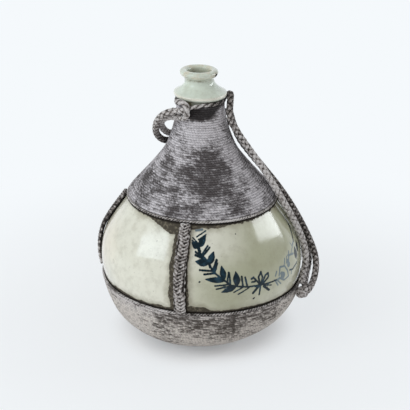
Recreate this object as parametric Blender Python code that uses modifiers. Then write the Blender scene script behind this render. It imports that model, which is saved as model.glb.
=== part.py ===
"""Ceramic wine flask in a twined cord jacket, with plaited straps and a carrying cord.

The flask stands on the XY plane, its mouth points up +Z and its front faces -Y.
Azimuths run in degrees from the front towards +X.
"""

import math

import bmesh
import bpy
import numpy as np

MM = 0.001

# Clearances between neighbouring pieces
SEAT_GAP = 0.3 * MM
CUT_OVERRUN = 4 * MM
MERGE_DISTANCE = 0.03 * MM

# Turned body of the flask
FOOT_RADIUS = 38.5 * MM
BELLY_RADIUS = 87.3 * MM
BELLY_HEIGHT = 66 * MM
NECK_RADIUS = 17.9 * MM
NECK_HEIGHT = 202 * MM
BODY_WALL = 5 * MM
FLOOR_WALL = 7 * MM
BORE_RADIUS = 10.3 * MM
BORE_DEPTH = 44 * MM

# Collar and rolled lip above the jacket
COLLAR_RADIUS = 22.1 * MM
COLLAR_UNDERSIDE = 212 * MM
COLLAR_HEIGHT = 5.5 * MM
THROAT_RADIUS = 12.1 * MM
LIP_RADIUS = 15.2 * MM
LIP_HEIGHT = 6.2 * MM
FLASK_HEIGHT = 234.2 * MM

# Outline of the mouth as shares: out and down for the lip and the throat, out and up for the collar
LIP_SHARES = (
    (0.0, 0.33),
    (0.22, 0.06),
    (0.52, 0.0),
    (0.84, 0.10),
    (1.0, 0.33),
    (0.86, 0.66),
)
THROAT_SHARES = (
    (0.04, 0.0),
    (0.02, 0.24),
    (0.10, 0.48),
    (0.34, 0.72),
    (0.66, 0.93),
)
COLLAR_SHARES = (
    (0.82, 0.86),
    (1.0, 0.56),
    (0.80, 0.20),
    (0.30, 0.03),
)

# Outline of the body as shares: of the way from foot to belly, then from belly to neck
FOOT_TO_BELLY_SHARES = (
    (0.0, 0.0),
    (0.164, 0.035),
    (0.441, 0.15),
    (0.717, 0.34),
    (0.873, 0.56),
    (0.953, 0.78),
    (1.0, 1.0),
)
BELLY_TO_NECK_SHARES = (
    (0.010, 0.10),
    (0.060, 0.19),
    (0.157, 0.28),
    (0.275, 0.37),
    (0.402, 0.46),
    (0.556, 0.55),
    (0.706, 0.64),
    (0.838, 0.73),
    (0.916, 0.82),
    (0.970, 0.91),
    (1.0, 1.0),
)

# Twined jacket: an upper and a lower cover, each ended by a hem round
COVER_THICKNESS = 2.1 * MM
HEM_RADIUS = 1.4 * MM
HEM_SIDES = 8
UPPER_HEM_HEIGHT = 124.5 * MM
LOWER_HEM_HEIGHT = 54.5 * MM

# Plaited straps that join the two hems
STRAP_WIDTH = 9.8 * MM
STRAP_THICKNESS = 4.2 * MM
STRAP_EDGE = 1.3 * MM
STRAP_EDGE_SEGMENTS = 2
STRAP_COLUMNS = (-1, 0, 1)
STRAP_AZIMUTHS = {"front": -12, "right": 100, "back": 168, "left": -94}

# Tie round the bare neck, between the collar and the upper cover's edge
TIE_RADIUS = 1.6 * MM
TIE_HEIGHT = COLLAR_UNDERSIDE - SEAT_GAP - TIE_RADIUS
TIE_STEPS = 36
COVER_TOP_HEIGHT = TIE_HEIGHT - TIE_RADIUS - SEAT_GAP

# Knot of the neck tie, from which two runs of the carrying cord start
NECK_KNOT_AZIMUTH = -41
NECK_KNOT_DROP = 5.7 * MM
NECK_KNOT_WIDTH = 8.6 * MM
NECK_KNOT_DEPTH = 9 * MM
NECK_KNOT_TALL = 15.2 * MM

# Knot that gathers the three runs of the carrying cord just below the lower hem
HEM_KNOT_AZIMUTH = 68
HEM_KNOT_DROP = 5.2 * MM
HEM_KNOT_WIDTH = 13 * MM
HEM_KNOT_DEPTH = 10 * MM
HEM_KNOT_TALL = 11.6 * MM
KNOT_EDGE = 3 * MM
KNOT_EDGE_SEGMENTS = 3
KNOT_SUNK_SHARE = 0.5

# Carrying cord: three runs that end at the hem knot
CORD_RADIUS = 2.85 * MM
CORD_SIDES = 2
CORD_STEP = 12 * MM

# Points that draw each run, in millimetres, chosen along the cord as it lies
FRONT_RUN_POINTS = (
    (-5.0, 23.9, 201.3),
    (7.4, 24.2, 201.6),
    (18.2, 20.8, 203.8),
    (24.4, 13.8, 208.4),
    (26.5, 5.4, 212.4),
    (26.1, -3.6, 210.6),
    (24.9, -9.4, 203.4),
    (25.4, -10.4, 195.6),
    (28.2, -10.0, 188.6),
    (32.0, -9.8, 181.9),
    (36.9, -10.0, 174.6),
    (43.4, -11.0, 165.1),
    (50.3, -12.0, 155.6),
    (57.3, -14.0, 144.7),
    (64.2, -15.0, 132.9),
    (71.0, -16.0, 120.9),
    (77.7, -16.0, 108.4),
    (84.7, -13.5, 92.9),
    (88.7, -12.5, 81.5),
    (90.4, -14.0, 71.1),
    (89.4, -18.5, 64.4),
    (87.6, -25.0, 60.8),
    (86.0, -30.8, 57.6),
    (85.0, -34.2, 54.6),
)
OUTER_RUN_POINTS = (
    (-18.6, -13.8, 198.9),
    (-24.2, -12.5, 198.8),
    (-28.4, -8.5, 196.6),
    (-32.3, -1.5, 191.2),
    (-32.2, 6.6, 183.7),
    (-28.1, 14.6, 175.7),
    (-22.2, 23.6, 171.4),
    (-9.0, 31.4, 175.8),
    (4.6, 31.6, 182.6),
    (15.4, 26.4, 188.0),
    (22.6, 18.6, 192.2),
    (26.0, 10.0, 194.6),
    (26.7, 2.0, 192.6),
    (28.6, -2.4, 186.4),
    (31.8, -3.4, 180.8),
    (36.4, -3.0, 172.8),
    (43.1, -3.2, 162.7),
    (51.2, -4.0, 152.3),
    (60.4, -5.0, 140.9),
    (69.9, -6.5, 128.1),
    (78.6, -6.5, 114.1),
    (86.2, -4.0, 99.2),
    (92.1, -2.0, 86.2),
    (96.7, -2.0, 75.6),
    (100.0, -4.5, 65.1),
    (100.2, -9.5, 57.2),
    (97.8, -16.8, 49.8),
    (93.8, -24.0, 45.0),
    (90.5, -28.1, 43.4),
)
INNER_RUN_POINTS = (
    (-20.5, -17.8, 205.2),
    (-23.0, -17.5, 204.6),
    (-28.4, -16.5, 202.6),
    (-33.4, -13.0, 197.8),
    (-36.5, -6.0, 189.4),
    (-36.9, 4.5, 178.4),
    (-32.5, 14.0, 169.5),
    (-26.3, 26.3, 163.8),
    (-10.4, 37.0, 166.8),
    (5.0, 36.0, 173.6),
    (16.8, 29.8, 179.8),
    (24.6, 20.8, 183.2),
    (28.6, 12.4, 183.0),
    (30.8, 5.8, 178.6),
    (34.0, 3.4, 172.0),
    (39.9, 3.0, 163.8),
    (48.0, 2.5, 153.3),
    (56.6, 1.5, 143.0),
    (64.8, 1.2, 132.4),
    (71.9, 1.8, 120.3),
    (78.2, 2.5, 106.9),
    (84.5, 3.0, 94.2),
    (89.6, 3.0, 81.7),
    (93.0, 2.5, 70.2),
    (94.6, 0.6, 63.0),
    (93.4, -6.5, 58.0),
    (91.0, -14.0, 54.6),
    (89.4, -21.5, 51.6),
    (88.4, -27.8, 49.6),
)

# How the hand-thrown flask leans: its body tips, its foot sits to the left and its shoulder right
LEAN_ANGLE = 2.1
LEAN_FULL_HEIGHT = 50 * MM
FOOT_SHIFT = -1.8 * MM
FOOT_SHIFT_HEIGHT = 45 * MM
SHOULDER_SHIFT = 1.2 * MM
SHOULDER_SHIFT_START = 90 * MM
SHOULDER_SHIFT_RISE = 45 * MM

# Fineness of the solids
TURN_STEPS = 40
OUTLINE_STEPS = 22
CURVE_STEPS = 22
RING_APART_SHARE = 0.34
SHARP_ANGLE = 40

COLLECTION_NAME = "ceramic_wine_flask"
GLAZE = ("celadon_glaze", (0.62, 0.66, 0.53), 0.16)
TWINE = ("twined_cord", (0.36, 0.34, 0.34), 0.9)
PLAIT = ("plaited_cord", (0.42, 0.39, 0.39), 0.92)


def clear_scene():
    """Removes every object, so that the model starts from an empty scene."""
    for item in list(bpy.data.objects):
        bpy.data.objects.remove(item, do_unlink=True)


def new_collection(name):
    """Makes a collection in the scene and returns it."""
    group = bpy.data.collections.new(name)
    bpy.context.scene.collection.children.link(group)
    return group


def principled(part_name, finish):
    """Makes the part's own material from a finish of name, colour and roughness."""
    finish_name, colour, roughness = finish
    material = bpy.data.materials.new(part_name + "_" + finish_name)
    material.use_nodes = True
    shader = material.node_tree.nodes["Principled BSDF"]
    shader.inputs["Base Color"].default_value = (*colour, 1)
    shader.inputs["Roughness"].default_value = roughness
    shader.inputs["Metallic"].default_value = 0
    return material


def smooth_share(share):
    """Eases a share from 0 to 1 with level ends."""
    share = np.clip(share, 0, 1)
    return share * share * (3 - 2 * share)


def lean(points):
    """Moves points, one per row, as the hand-thrown flask leans."""
    moved = np.array(points, float)
    across = moved[:, 0].copy()
    height = moved[:, 2].copy()
    tip = math.tan(math.radians(LEAN_ANGLE)) * smooth_share(height / LEAN_FULL_HEIGHT)
    foot_slide = FOOT_SHIFT * (1 - smooth_share(height / FOOT_SHIFT_HEIGHT))
    shoulder_share = smooth_share((height - SHOULDER_SHIFT_START) / SHOULDER_SHIFT_RISE)
    moved[:, 0] = across + foot_slide + SHOULDER_SHIFT * shoulder_share
    moved[:, 2] = height - across * tip
    return moved


def through_span(first, start, end, last, share):
    """Returns samples of a curve that passes through the points start and end."""
    bend = 2 * first - 5 * start + 4 * end - last
    turn = 3 * start - first - 3 * end + last
    return start + share * ((end - first) + share * (bend + share * turn)) / 2


def drawn_span(first, start, end, last, share):
    """Returns samples of a curve that is drawn towards the points, without sharp bends."""
    rest = 1 - share
    start_pull = 4 - 3 * share * share * (1 + rest)
    end_pull = 4 - 3 * rest * rest * (1 + share)
    return (rest**3 * first + start_pull * start + end_pull * end + share**3 * last) / 6


def smooth_curve(points, span):
    """Runs a curve from the first to the last point, with one kind of span between points."""
    points = np.array(points, float)
    before = 2 * points[:1] - points[1:2]
    after = 2 * points[-1:] - points[-2:-1]
    padded = np.concatenate([before, points, after])
    share = np.linspace(0, 1, CURVE_STEPS, endpoint=False)[:, None]
    spans = []
    for first, start, end, last in zip(padded, padded[1:], padded[2:], padded[3:]):
        spans.append(span(first, start, end, last, share))
    return np.concatenate(spans + [points[-1:]])


def arc_lengths(line):
    """Returns the distance along a line of points to each point."""
    steps = np.linalg.norm(np.diff(line, axis=0), axis=1)
    return np.concatenate([[0], np.cumsum(steps)])


def resample(line, stations):
    """Reads a line of points at the given distances along it."""
    along = arc_lengths(line)
    return np.stack([np.interp(stations, along, column) for column in line.T], axis=1)


def body_outline():
    """Returns the body's outer outline from foot to neck, as rows of radius and height."""
    foot_height = COVER_THICKNESS + SEAT_GAP
    points = []
    for out_share, up_share in FOOT_TO_BELLY_SHARES:
        radius = FOOT_RADIUS + out_share * (BELLY_RADIUS - FOOT_RADIUS)
        points.append((radius, foot_height + up_share * (BELLY_HEIGHT - foot_height)))
    for in_share, up_share in BELLY_TO_NECK_SHARES:
        radius = BELLY_RADIUS - in_share * (BELLY_RADIUS - NECK_RADIUS)
        points.append((radius, BELLY_HEIGHT + up_share * (NECK_HEIGHT - BELLY_HEIGHT)))
    points.append((NECK_RADIUS, COLLAR_UNDERSIDE))
    return smooth_curve(points, through_span)


OUTLINE = body_outline()
OUTLINE_ALONG = arc_lengths(OUTLINE)


def station_at(height):
    """Returns the distance along the body's outline to a height."""
    return float(np.interp(height, OUTLINE[:, 1], OUTLINE_ALONG))


def stand_off(stations, distance):
    """Returns outline points at the stations, moved out from the glaze by a distance."""
    slopes = np.gradient(OUTLINE, axis=0)
    normals = np.stack([slopes[:, 1], -slopes[:, 0]], axis=1)
    normals /= np.linalg.norm(normals, axis=1)[:, None]
    normals[0] = (1, 0)
    moved = OUTLINE + normals * distance
    return np.stack([np.interp(stations, OUTLINE_ALONG, column) for column in moved.T], axis=1)


def cover_ends(hem_height, side):
    """Returns the station of a hem's centre and of the cover edge beside it."""
    hem_station = station_at(hem_height)
    return hem_station, hem_station + side * (HEM_RADIUS + SEAT_GAP)


UPPER_HEM_STATION, UPPER_COVER_START = cover_ends(UPPER_HEM_HEIGHT, 1)
LOWER_HEM_STATION, LOWER_COVER_END = cover_ends(LOWER_HEM_HEIGHT, -1)
COVER_TOP_STATION = station_at(COVER_TOP_HEIGHT)


def shared_stations():
    """Returns the stations at which every turned piece has a ring, so that facets match."""
    even = np.linspace(0, OUTLINE_ALONG[-1], OUTLINE_STEPS)
    edges = [UPPER_COVER_START, LOWER_COVER_END, COVER_TOP_STATION]
    apart = even[1] * RING_APART_SHARE
    inner = [value for value in even[1:-1] if min(abs(value - edge) for edge in edges) > apart]
    return np.array(sorted([even[0], even[-1]] + inner + edges))


STATIONS = shared_stations()


def stations_between(start, end):
    """Returns the shared stations from start to end, with both ends."""
    inner = [
        value for value in STATIONS if start + MERGE_DISTANCE < value < end - MERGE_DISTANCE
    ]
    return np.array([start] + inner + [end])


def evaluated_mesh(item, name):
    """Returns a new mesh with the object's modifiers applied, in world space."""
    bpy.context.view_layer.update()
    graph = bpy.context.evaluated_depsgraph_get()
    mesh = bpy.data.meshes.new_from_object(item.evaluated_get(graph))
    mesh.transform(item.matrix_world)
    mesh.name = name
    return mesh


def lean_mesh(mesh):
    """Moves a mesh's points as the flask leans."""
    points = np.zeros(len(mesh.vertices) * 3)
    mesh.vertices.foreach_get("co", points)
    mesh.vertices.foreach_set("co", lean(points.reshape(-1, 3)).ravel())
    mesh.update()


def add_part(name, mesh, finish):
    """Puts a finished mesh in the part's collection, shaded smooth, with its own material."""
    mesh.materials.clear()
    mesh.materials.append(principled(name, finish))
    mesh.shade_smooth()
    mesh.set_sharp_from_angle(angle=math.radians(SHARP_ANGLE))
    part = bpy.data.objects.new(name, mesh)
    PARTS.objects.link(part)
    return part


def as_leaning_part(item, name, finish):
    """Turns a construction object into a named part that leans with the flask."""
    mesh = evaluated_mesh(item, name)
    bpy.data.objects.remove(item, do_unlink=True)
    lean_mesh(mesh)
    return add_part(name, mesh, finish)


def profile_object(name, profile, closed):
    """Makes a line of radius and height points at +X, ready for a Screw modifier."""
    count = len(profile)
    edges = [(index, index + 1) for index in range(count - 1)]
    if closed:
        edges.append((count - 1, 0))
    mesh = bpy.data.meshes.new(name + "_profile")
    mesh.from_pydata([(radius, 0, height) for radius, height in profile], edges, [])
    item = bpy.data.objects.new(name + "_profile", mesh)
    bpy.context.scene.collection.objects.link(item)
    return item


def turned(name, profile, closed):
    """Turns a profile about the Z axis and returns the construction object."""
    item = profile_object(name, profile, closed)
    screw = item.modifiers.new("turn", "SCREW")
    screw.axis = "Z"
    screw.steps = TURN_STEPS
    screw.render_steps = TURN_STEPS
    screw.use_merge_vertices = True
    screw.merge_threshold = MERGE_DISTANCE
    return item


def mouth_outline():
    """Returns the lip, throat and collar outside the neck, from the bore's edge downwards."""
    points = []
    for out_share, down_share in LIP_SHARES:
        radius = BORE_RADIUS + out_share * (LIP_RADIUS - BORE_RADIUS)
        points.append((radius, FLASK_HEIGHT - down_share * LIP_HEIGHT))
    throat_top = FLASK_HEIGHT - LIP_HEIGHT
    throat_height = throat_top - COLLAR_UNDERSIDE - COLLAR_HEIGHT
    for out_share, down_share in THROAT_SHARES:
        radius = THROAT_RADIUS + out_share * (COLLAR_RADIUS - THROAT_RADIUS)
        points.append((radius, throat_top - down_share * throat_height))
    for out_share, up_share in COLLAR_SHARES:
        radius = NECK_RADIUS + out_share * (COLLAR_RADIUS - NECK_RADIUS)
        points.append((radius, COLLAR_UNDERSIDE + up_share * COLLAR_HEIGHT))
    return points


def chamber_outline():
    """Returns the inside from the middle of the floor up to the bore's edge."""
    bore_foot = FLASK_HEIGHT - BORE_DEPTH
    stations = [value for value in STATIONS[1:-1:2]]
    walls = stand_off(stations, -BODY_WALL)
    floor_height = COVER_THICKNESS + SEAT_GAP + FLOOR_WALL
    inner = [(0, floor_height), (FOOT_RADIUS - BODY_WALL, floor_height)]
    for radius, height in walls:
        if radius > BORE_RADIUS and floor_height + BODY_WALL < height < bore_foot:
            inner.append((radius, height))
    inner.append((BORE_RADIUS, bore_foot))
    return inner


def make_flask():
    """Makes the hollow flask: chamber, bore, lip, throat, collar, body and foot."""
    outside = stand_off(STATIONS[::-1], 0)
    profile = chamber_outline() + mouth_outline() + [tuple(point) for point in outside]
    profile.append((0, COVER_THICKNESS + SEAT_GAP))
    return as_leaning_part(turned("ceramic_flask", profile, False), "ceramic_flask", GLAZE)


def make_upper_cover():
    """Makes the cover over the neck and shoulder, open at both ends."""
    stations = stations_between(UPPER_COVER_START, COVER_TOP_STATION)
    outside = stand_off(stations[::-1], SEAT_GAP + COVER_THICKNESS)
    inside = stand_off(stations, SEAT_GAP)
    profile = [tuple(point) for point in outside] + [tuple(point) for point in inside]
    return as_leaning_part(turned("upper_cover", profile, True), "upper_cover", TWINE)


def make_lower_cover():
    """Makes the bowl that the flask stands in, with a flat base."""
    stations = stations_between(0, LOWER_COVER_END)
    inside = stand_off(stations, SEAT_GAP)
    outside = stand_off(stations[::-1], SEAT_GAP + COVER_THICKNESS)
    profile = [(0, COVER_THICKNESS), (FOOT_RADIUS, COVER_THICKNESS)]
    profile += [tuple(point) for point in inside]
    profile += [tuple(point) for point in outside]
    profile += [(FOOT_RADIUS + COVER_THICKNESS / 2, 0), (0, 0)]
    return as_leaning_part(turned("lower_cover", profile, False), "lower_cover", TWINE)


def make_hem(name, station):
    """Makes a hem: one round cord that lies on the glaze beside its cover's edge."""
    centre = stand_off([station], SEAT_GAP + HEM_RADIUS)[0]
    angles = [-2 * math.pi * index / HEM_SIDES for index in range(HEM_SIDES)]
    profile = []
    for angle in angles:
        radius = centre[0] + HEM_RADIUS * math.cos(angle)
        profile.append((radius, centre[1] + HEM_RADIUS * math.sin(angle)))
    return as_leaning_part(turned(name, profile, True), name, PLAIT)


def make_strap(side, azimuth):
    """Makes a flat plaited strap that lies on the glaze from hem to hem."""
    name = side + "_strap"
    reach = HEM_RADIUS + SEAT_GAP
    stations = stations_between(LOWER_HEM_STATION + reach, UPPER_HEM_STATION - reach)
    path = stand_off(stations, SEAT_GAP)
    half_angle = STRAP_WIDTH / (2 * BELLY_RADIUS)
    middle = math.radians(azimuth)
    verts = []
    for radius, height in path:
        for turn in STRAP_COLUMNS:
            angle = middle + turn * half_angle * BELLY_RADIUS / radius
            verts.append((radius * math.sin(angle), -radius * math.cos(angle), height))
    faces = []
    across = len(STRAP_COLUMNS)
    for row in range(len(path) - 1):
        for column in range(across - 1):
            low = row * across + column
            faces.append((low, low + 1, low + across + 1, low + across))
    mesh = bpy.data.meshes.new(name + "_strip")
    mesh.from_pydata(verts, [], faces)
    strip = bpy.data.objects.new(name + "_strip", mesh)
    bpy.context.scene.collection.objects.link(strip)
    solidify = strip.modifiers.new("thickness", "SOLIDIFY")
    solidify.thickness = STRAP_THICKNESS
    solidify.offset = 1
    solidify.use_even_offset = True
    bevel = strip.modifiers.new("rounded_edges", "BEVEL")
    bevel.width = STRAP_EDGE
    bevel.segments = STRAP_EDGE_SEGMENTS
    bevel.limit_method = "ANGLE"
    bevel.angle_limit = math.radians(SHARP_ANGLE)
    return as_leaning_part(strip, name, PLAIT)


def tube(name, points, radius, sides):
    """Sweeps a round cord along points and returns a welded mesh."""
    curve = bpy.data.curves.new(name + "_route", "CURVE")
    curve.dimensions = "3D"
    spline = curve.splines.new("POLY")
    spline.points.add(len(points) - 1)
    for target, point in zip(spline.points, points):
        target.co = (*point, 1)
    curve.bevel_depth = radius
    curve.bevel_resolution = sides
    curve.use_fill_caps = True
    item = bpy.data.objects.new(name + "_route", curve)
    bpy.context.scene.collection.objects.link(item)
    mesh = evaluated_mesh(item, name)
    bpy.data.objects.remove(item, do_unlink=True)
    shape = bmesh.new()
    shape.from_mesh(mesh)
    bmesh.ops.remove_doubles(shape, verts=shape.verts, dist=MERGE_DISTANCE)
    shape.to_mesh(mesh)
    shape.free()
    return mesh


def make_neck_tie():
    """Makes the thin cord round the neck, from one side of its knot to the other."""
    radius, height = stand_off([station_at(TIE_HEIGHT)], SEAT_GAP + TIE_RADIUS)[0]
    knot_half = math.degrees((NECK_KNOT_WIDTH / 2 + SEAT_GAP) / radius)
    points = []
    for way in np.linspace(0, 1, TIE_STEPS):
        azimuth = NECK_KNOT_AZIMUTH + knot_half + way * (360 - 2 * knot_half)
        angle = math.radians(azimuth)
        points.append((radius * math.sin(angle), -radius * math.cos(angle), height))
    mesh = tube("neck_tie", points, TIE_RADIUS, CORD_SIDES)
    lean_mesh(mesh)
    return add_part("neck_tie", mesh, PLAIT)


def rounded_block(name, azimuth, height, size, reach):
    """Makes a block with rounded edges that faces out at an azimuth."""
    bpy.ops.mesh.primitive_cube_add(size=size[0])
    item = bpy.context.active_object
    item.name = name + "_block"
    item.dimensions = size
    bpy.ops.object.transform_apply(location=False, rotation=False, scale=True)
    bevel = item.modifiers.new("rounded_edges", "BEVEL")
    bevel.width = KNOT_EDGE
    bevel.segments = KNOT_EDGE_SEGMENTS
    angle = math.radians(azimuth)
    item.location = (reach * math.sin(angle), -reach * math.cos(angle), height)
    item.rotation_euler = (0, 0, angle)
    return item


def clearance_form(name, distance):
    """Makes the cutter: the body swelled by a distance, with both ends closed."""
    swelled = stand_off(STATIONS[::-1], distance)
    top = (0, swelled[0][1] + CUT_OVERRUN)
    profile = [top, (swelled[0][0], top[1])] + [tuple(point) for point in swelled]
    profile.append((0, swelled[-1][1]))
    item = turned(name, profile, False)
    item.hide_render = True
    item.display_type = "WIRE"
    bpy.context.scene.collection.objects.unlink(item)
    CUTTERS.objects.link(item)
    return item


def cut(item, cutter):
    """Takes the cutter's space out of a construction object."""
    boolean = item.modifiers.new("seat", "BOOLEAN")
    boolean.operation = "DIFFERENCE"
    boolean.solver = "EXACT"
    boolean.object = cutter


def make_knot(name, azimuth, height, size, seat_height, stand):
    """Makes a rounded knot, shaped to the surface that it lies on."""
    seat_radius = stand_off([station_at(seat_height)], stand)[0][0]
    reach = seat_radius + size[1] / 2 - KNOT_EDGE * KNOT_SUNK_SHARE
    block = rounded_block(name, azimuth, height, size, reach)
    cut(block, clearance_form(name + "_clearance", stand))
    return as_leaning_part(block, name, PLAIT)


def make_knots():
    """Makes the neck knot over the upper cover and the hem knot over the lower hem."""
    over_cover = 2 * SEAT_GAP + COVER_THICKNESS
    over_hem = 2 * SEAT_GAP + 2 * HEM_RADIUS
    neck_size = (NECK_KNOT_WIDTH, NECK_KNOT_DEPTH, NECK_KNOT_TALL)
    hem_size = (HEM_KNOT_WIDTH, HEM_KNOT_DEPTH, HEM_KNOT_TALL)
    neck_knot_height = TIE_HEIGHT - NECK_KNOT_DROP
    hem_knot_height = LOWER_HEM_HEIGHT - HEM_KNOT_DROP
    make_knot(
        "neck_knot", NECK_KNOT_AZIMUTH, neck_knot_height, neck_size, neck_knot_height, over_cover
    )
    make_knot(
        "hem_knot", HEM_KNOT_AZIMUTH, hem_knot_height, hem_size, LOWER_HEM_HEIGHT, over_hem
    )


def make_cord(name, points):
    """Makes one run of the carrying cord along the smooth curve drawn by its points."""
    line = smooth_curve(np.array(points) * MM, drawn_span)
    length = arc_lengths(line)[-1]
    count = round(length / CORD_STEP)
    even = resample(line, np.linspace(0, length, count + 1))
    return add_part(name, tube(name, even, CORD_RADIUS, CORD_SIDES), PLAIT)


def build():
    """Makes every piece of the flask."""
    make_flask()
    make_upper_cover()
    make_lower_cover()
    make_hem("upper_hem", UPPER_HEM_STATION)
    make_hem("lower_hem", LOWER_HEM_STATION)
    for side, azimuth in STRAP_AZIMUTHS.items():
        make_strap(side, azimuth)
    make_neck_tie()
    make_knots()
    make_cord("carry_cord_front", FRONT_RUN_POINTS)
    make_cord("carry_cord_outer", OUTER_RUN_POINTS)
    make_cord("carry_cord_inner", INNER_RUN_POINTS)


clear_scene()
PARTS = new_collection(COLLECTION_NAME)
CUTTERS = new_collection("cutters")
build()
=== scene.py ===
"""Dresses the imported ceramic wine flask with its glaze, woven jacket, plaits and cords.

The flask stands on the XY plane, its mouth points up +Z and its front faces -Y.
Azimuths run in degrees from the front towards +X, and lengths are in metres.
"""

import itertools
import logging
import math
from dataclasses import dataclass
from enum import Enum
from typing import Protocol

import bpy
import numpy as np
from mathutils import Matrix, Quaternion, Vector


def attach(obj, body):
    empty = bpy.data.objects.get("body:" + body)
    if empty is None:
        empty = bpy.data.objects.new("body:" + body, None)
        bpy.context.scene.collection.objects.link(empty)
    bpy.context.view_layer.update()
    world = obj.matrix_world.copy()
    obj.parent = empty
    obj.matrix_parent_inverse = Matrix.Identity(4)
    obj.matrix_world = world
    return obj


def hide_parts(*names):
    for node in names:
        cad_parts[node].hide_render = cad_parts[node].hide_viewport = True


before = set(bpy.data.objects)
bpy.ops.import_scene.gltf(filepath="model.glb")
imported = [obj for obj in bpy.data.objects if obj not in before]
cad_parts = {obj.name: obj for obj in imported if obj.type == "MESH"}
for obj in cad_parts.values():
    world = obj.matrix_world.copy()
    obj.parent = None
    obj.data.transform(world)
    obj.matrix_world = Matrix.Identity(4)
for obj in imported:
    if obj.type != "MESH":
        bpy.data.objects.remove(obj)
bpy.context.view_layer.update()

LOG = logging.getLogger("wine_flask")
MM = 0.001
UPPER_HEM = 124.5 * MM
LOWER_HEM = 54.5 * MM
STRAPS = {"front": -12, "right": 100, "back": 168, "left": -94}

Array = np.ndarray
Colour = tuple[float, float, float, float]
Span = tuple[float, float]
Stain = np.ndarray | tuple[float, ...] | float
Shares = tuple[float, ...]
Point = tuple[float, float, float]
Table = tuple[tuple[float, ...], ...]


class Slot(Enum):
    """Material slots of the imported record."""

    GLAZE = "celadon_glaze"
    TWINE = "twined_cord"
    PLAIT = "plaited_cord"


def linear(red: float, green: float, blue: float) -> Colour:
    """Turns a display colour into the linear colour that a shader takes.

    Args:
        red: Display red, from 0 to 255 like the others.
        green: Display green.
        blue: Display blue.

    Returns:
        Linear red, green and blue from 0 to 1, and full opacity.
    """
    display = np.array([red, green, blue]) / 255
    high = ((display + 0.055) / 1.055) ** 2.4
    return (*np.where(display <= 0.04045, display / 12.92, high).tolist(), 1.0)


def smooth_share(share: Array) -> Array:
    """Eases a share from 0 to 1 with level ends: three squares less two cubes."""
    share = np.clip(share, 0, 1)
    return share * share * (3 - 2 * share)


def turn_from(middle: float, azimuths: Array) -> Array:
    """Counts degrees from a middle azimuth, from -180 to 180."""
    return (azimuths - middle + 180) % 360 - 180


THROUGH = np.array([(0, 2, 0, 0), (-1, 0, 1, 0), (2, -5, 4, -1), (-1, 3, -3, 1)]) / 2
DRAWN = np.array([(1, 4, 1, 0), (-3, 0, 3, 0), (3, -6, 3, 0), (-1, 3, -3, 1)]) / 6


def smooth_curve(points: Array, basis: Array, steps: int = 24) -> Array:
    """Runs a cubic between each two points, with the end points reflected outwards.

    A sample is the powers of its share times the basis times the four points about it. THROUGH
    is the Catmull-Rom basis, which passes through the points, and DRAWN the B-spline basis,
    which is only drawn towards them.

    Args:
        points: Control points, one per row.
        basis: THROUGH or DRAWN.
        steps: Samples in each span.

    Returns:
        Points along the curve, from the first control point to the last.
    """
    points = np.asarray(points, float)
    before, after = 2 * points[:1] - points[1:2], 2 * points[-1:] - points[-2:-1]
    padded = np.concatenate([before, points, after])
    four = np.stack([padded[start : len(padded) - 3 + start] for start in range(4)], axis=1)
    powers = np.linspace(0, 1, steps, endpoint=False)[:, None] ** np.arange(4)
    samples = (powers @ basis @ four).reshape(-1, points.shape[1])
    return np.concatenate([samples, points[-1:]])


def arc_lengths(line: Array) -> Array:
    """Adds up the distance along a line of points to each point."""
    steps = np.linalg.norm(np.diff(line, axis=0), axis=1)
    return np.concatenate([[0], np.cumsum(steps)])


def evenly(line: Array, step: float) -> Array:
    """Reads a line of points at even distances close to a step.

    Args:
        line: Points along the line.
        step: Wished distance.

    Returns:
        Points at even distances from end to end.
    """
    along = arc_lengths(line)
    stations = np.linspace(0, along[-1], max(3, round(along[-1] / step) + 1))
    return np.stack([np.interp(stations, along, column) for column in line.T], axis=1)


def unit(vectors: Array) -> Array:
    """Divides each vector by its own length."""
    return vectors / np.maximum(np.linalg.norm(vectors, axis=-1, keepdims=True), 1e-12)


@dataclass(frozen=True)
class Waver:
    """Smooth seeded unevenness: the size of its finest feature, its seed and how much it is."""

    reach: float
    seed: int
    amount: float
    waves: int = 7

    def at(self, places: Array) -> Array:
        """Sums sine waves of seeded directions and phases, near -1 to 1, times the amount.

        Args:
            places: Coordinates, last axis the dimensions.

        Returns:
            One value for each place.
        """
        draw = np.random.default_rng(self.seed)
        size = (places.shape[-1], self.waves)
        turns = draw.normal(size=size) * draw.uniform(0.35, 1.0, self.waves)
        phases = draw.uniform(0, 2 * math.pi, self.waves)
        waves = np.sin(places / self.reach @ turns + phases).sum(axis=-1)
        return waves / math.sqrt(self.waves) * self.amount


@dataclass(frozen=True)
class Lean:
    """How the hand-thrown flask leans: its body tips, its foot sits left, its shoulder right."""

    angle: float = 2.1
    full_height: float = 50 * MM
    foot_shift: float = -1.8 * MM
    foot_height: float = 45 * MM
    shoulder_shift: float = 1.2 * MM
    shoulder_start: float = 90 * MM
    shoulder_rise: float = 45 * MM

    def moved(self, points: Array) -> Array:
        """Tips and slides points of the upright form.

        Height falls by the sideways place times the lean's slope, eased in over the lowest part,
        the foot slides sideways by a shift that eases out with height, and the shoulder and the
        neck slide by another that eases in.

        Args:
            points: Points of the upright form, last axis x, y and z.

        Returns:
            The points where the leaning flask has them.
        """
        across, height = points[..., 0], points[..., 2]
        tip = math.tan(math.radians(self.angle)) * smooth_share(height / self.full_height)
        slide = self.foot_shift * (1 - smooth_share(height / self.foot_height))
        risen = smooth_share((height - self.shoulder_start) / self.shoulder_rise)
        slide = slide + self.shoulder_shift * risen
        return np.stack([across + slide, points[..., 1], height - across * tip], axis=-1)


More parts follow.
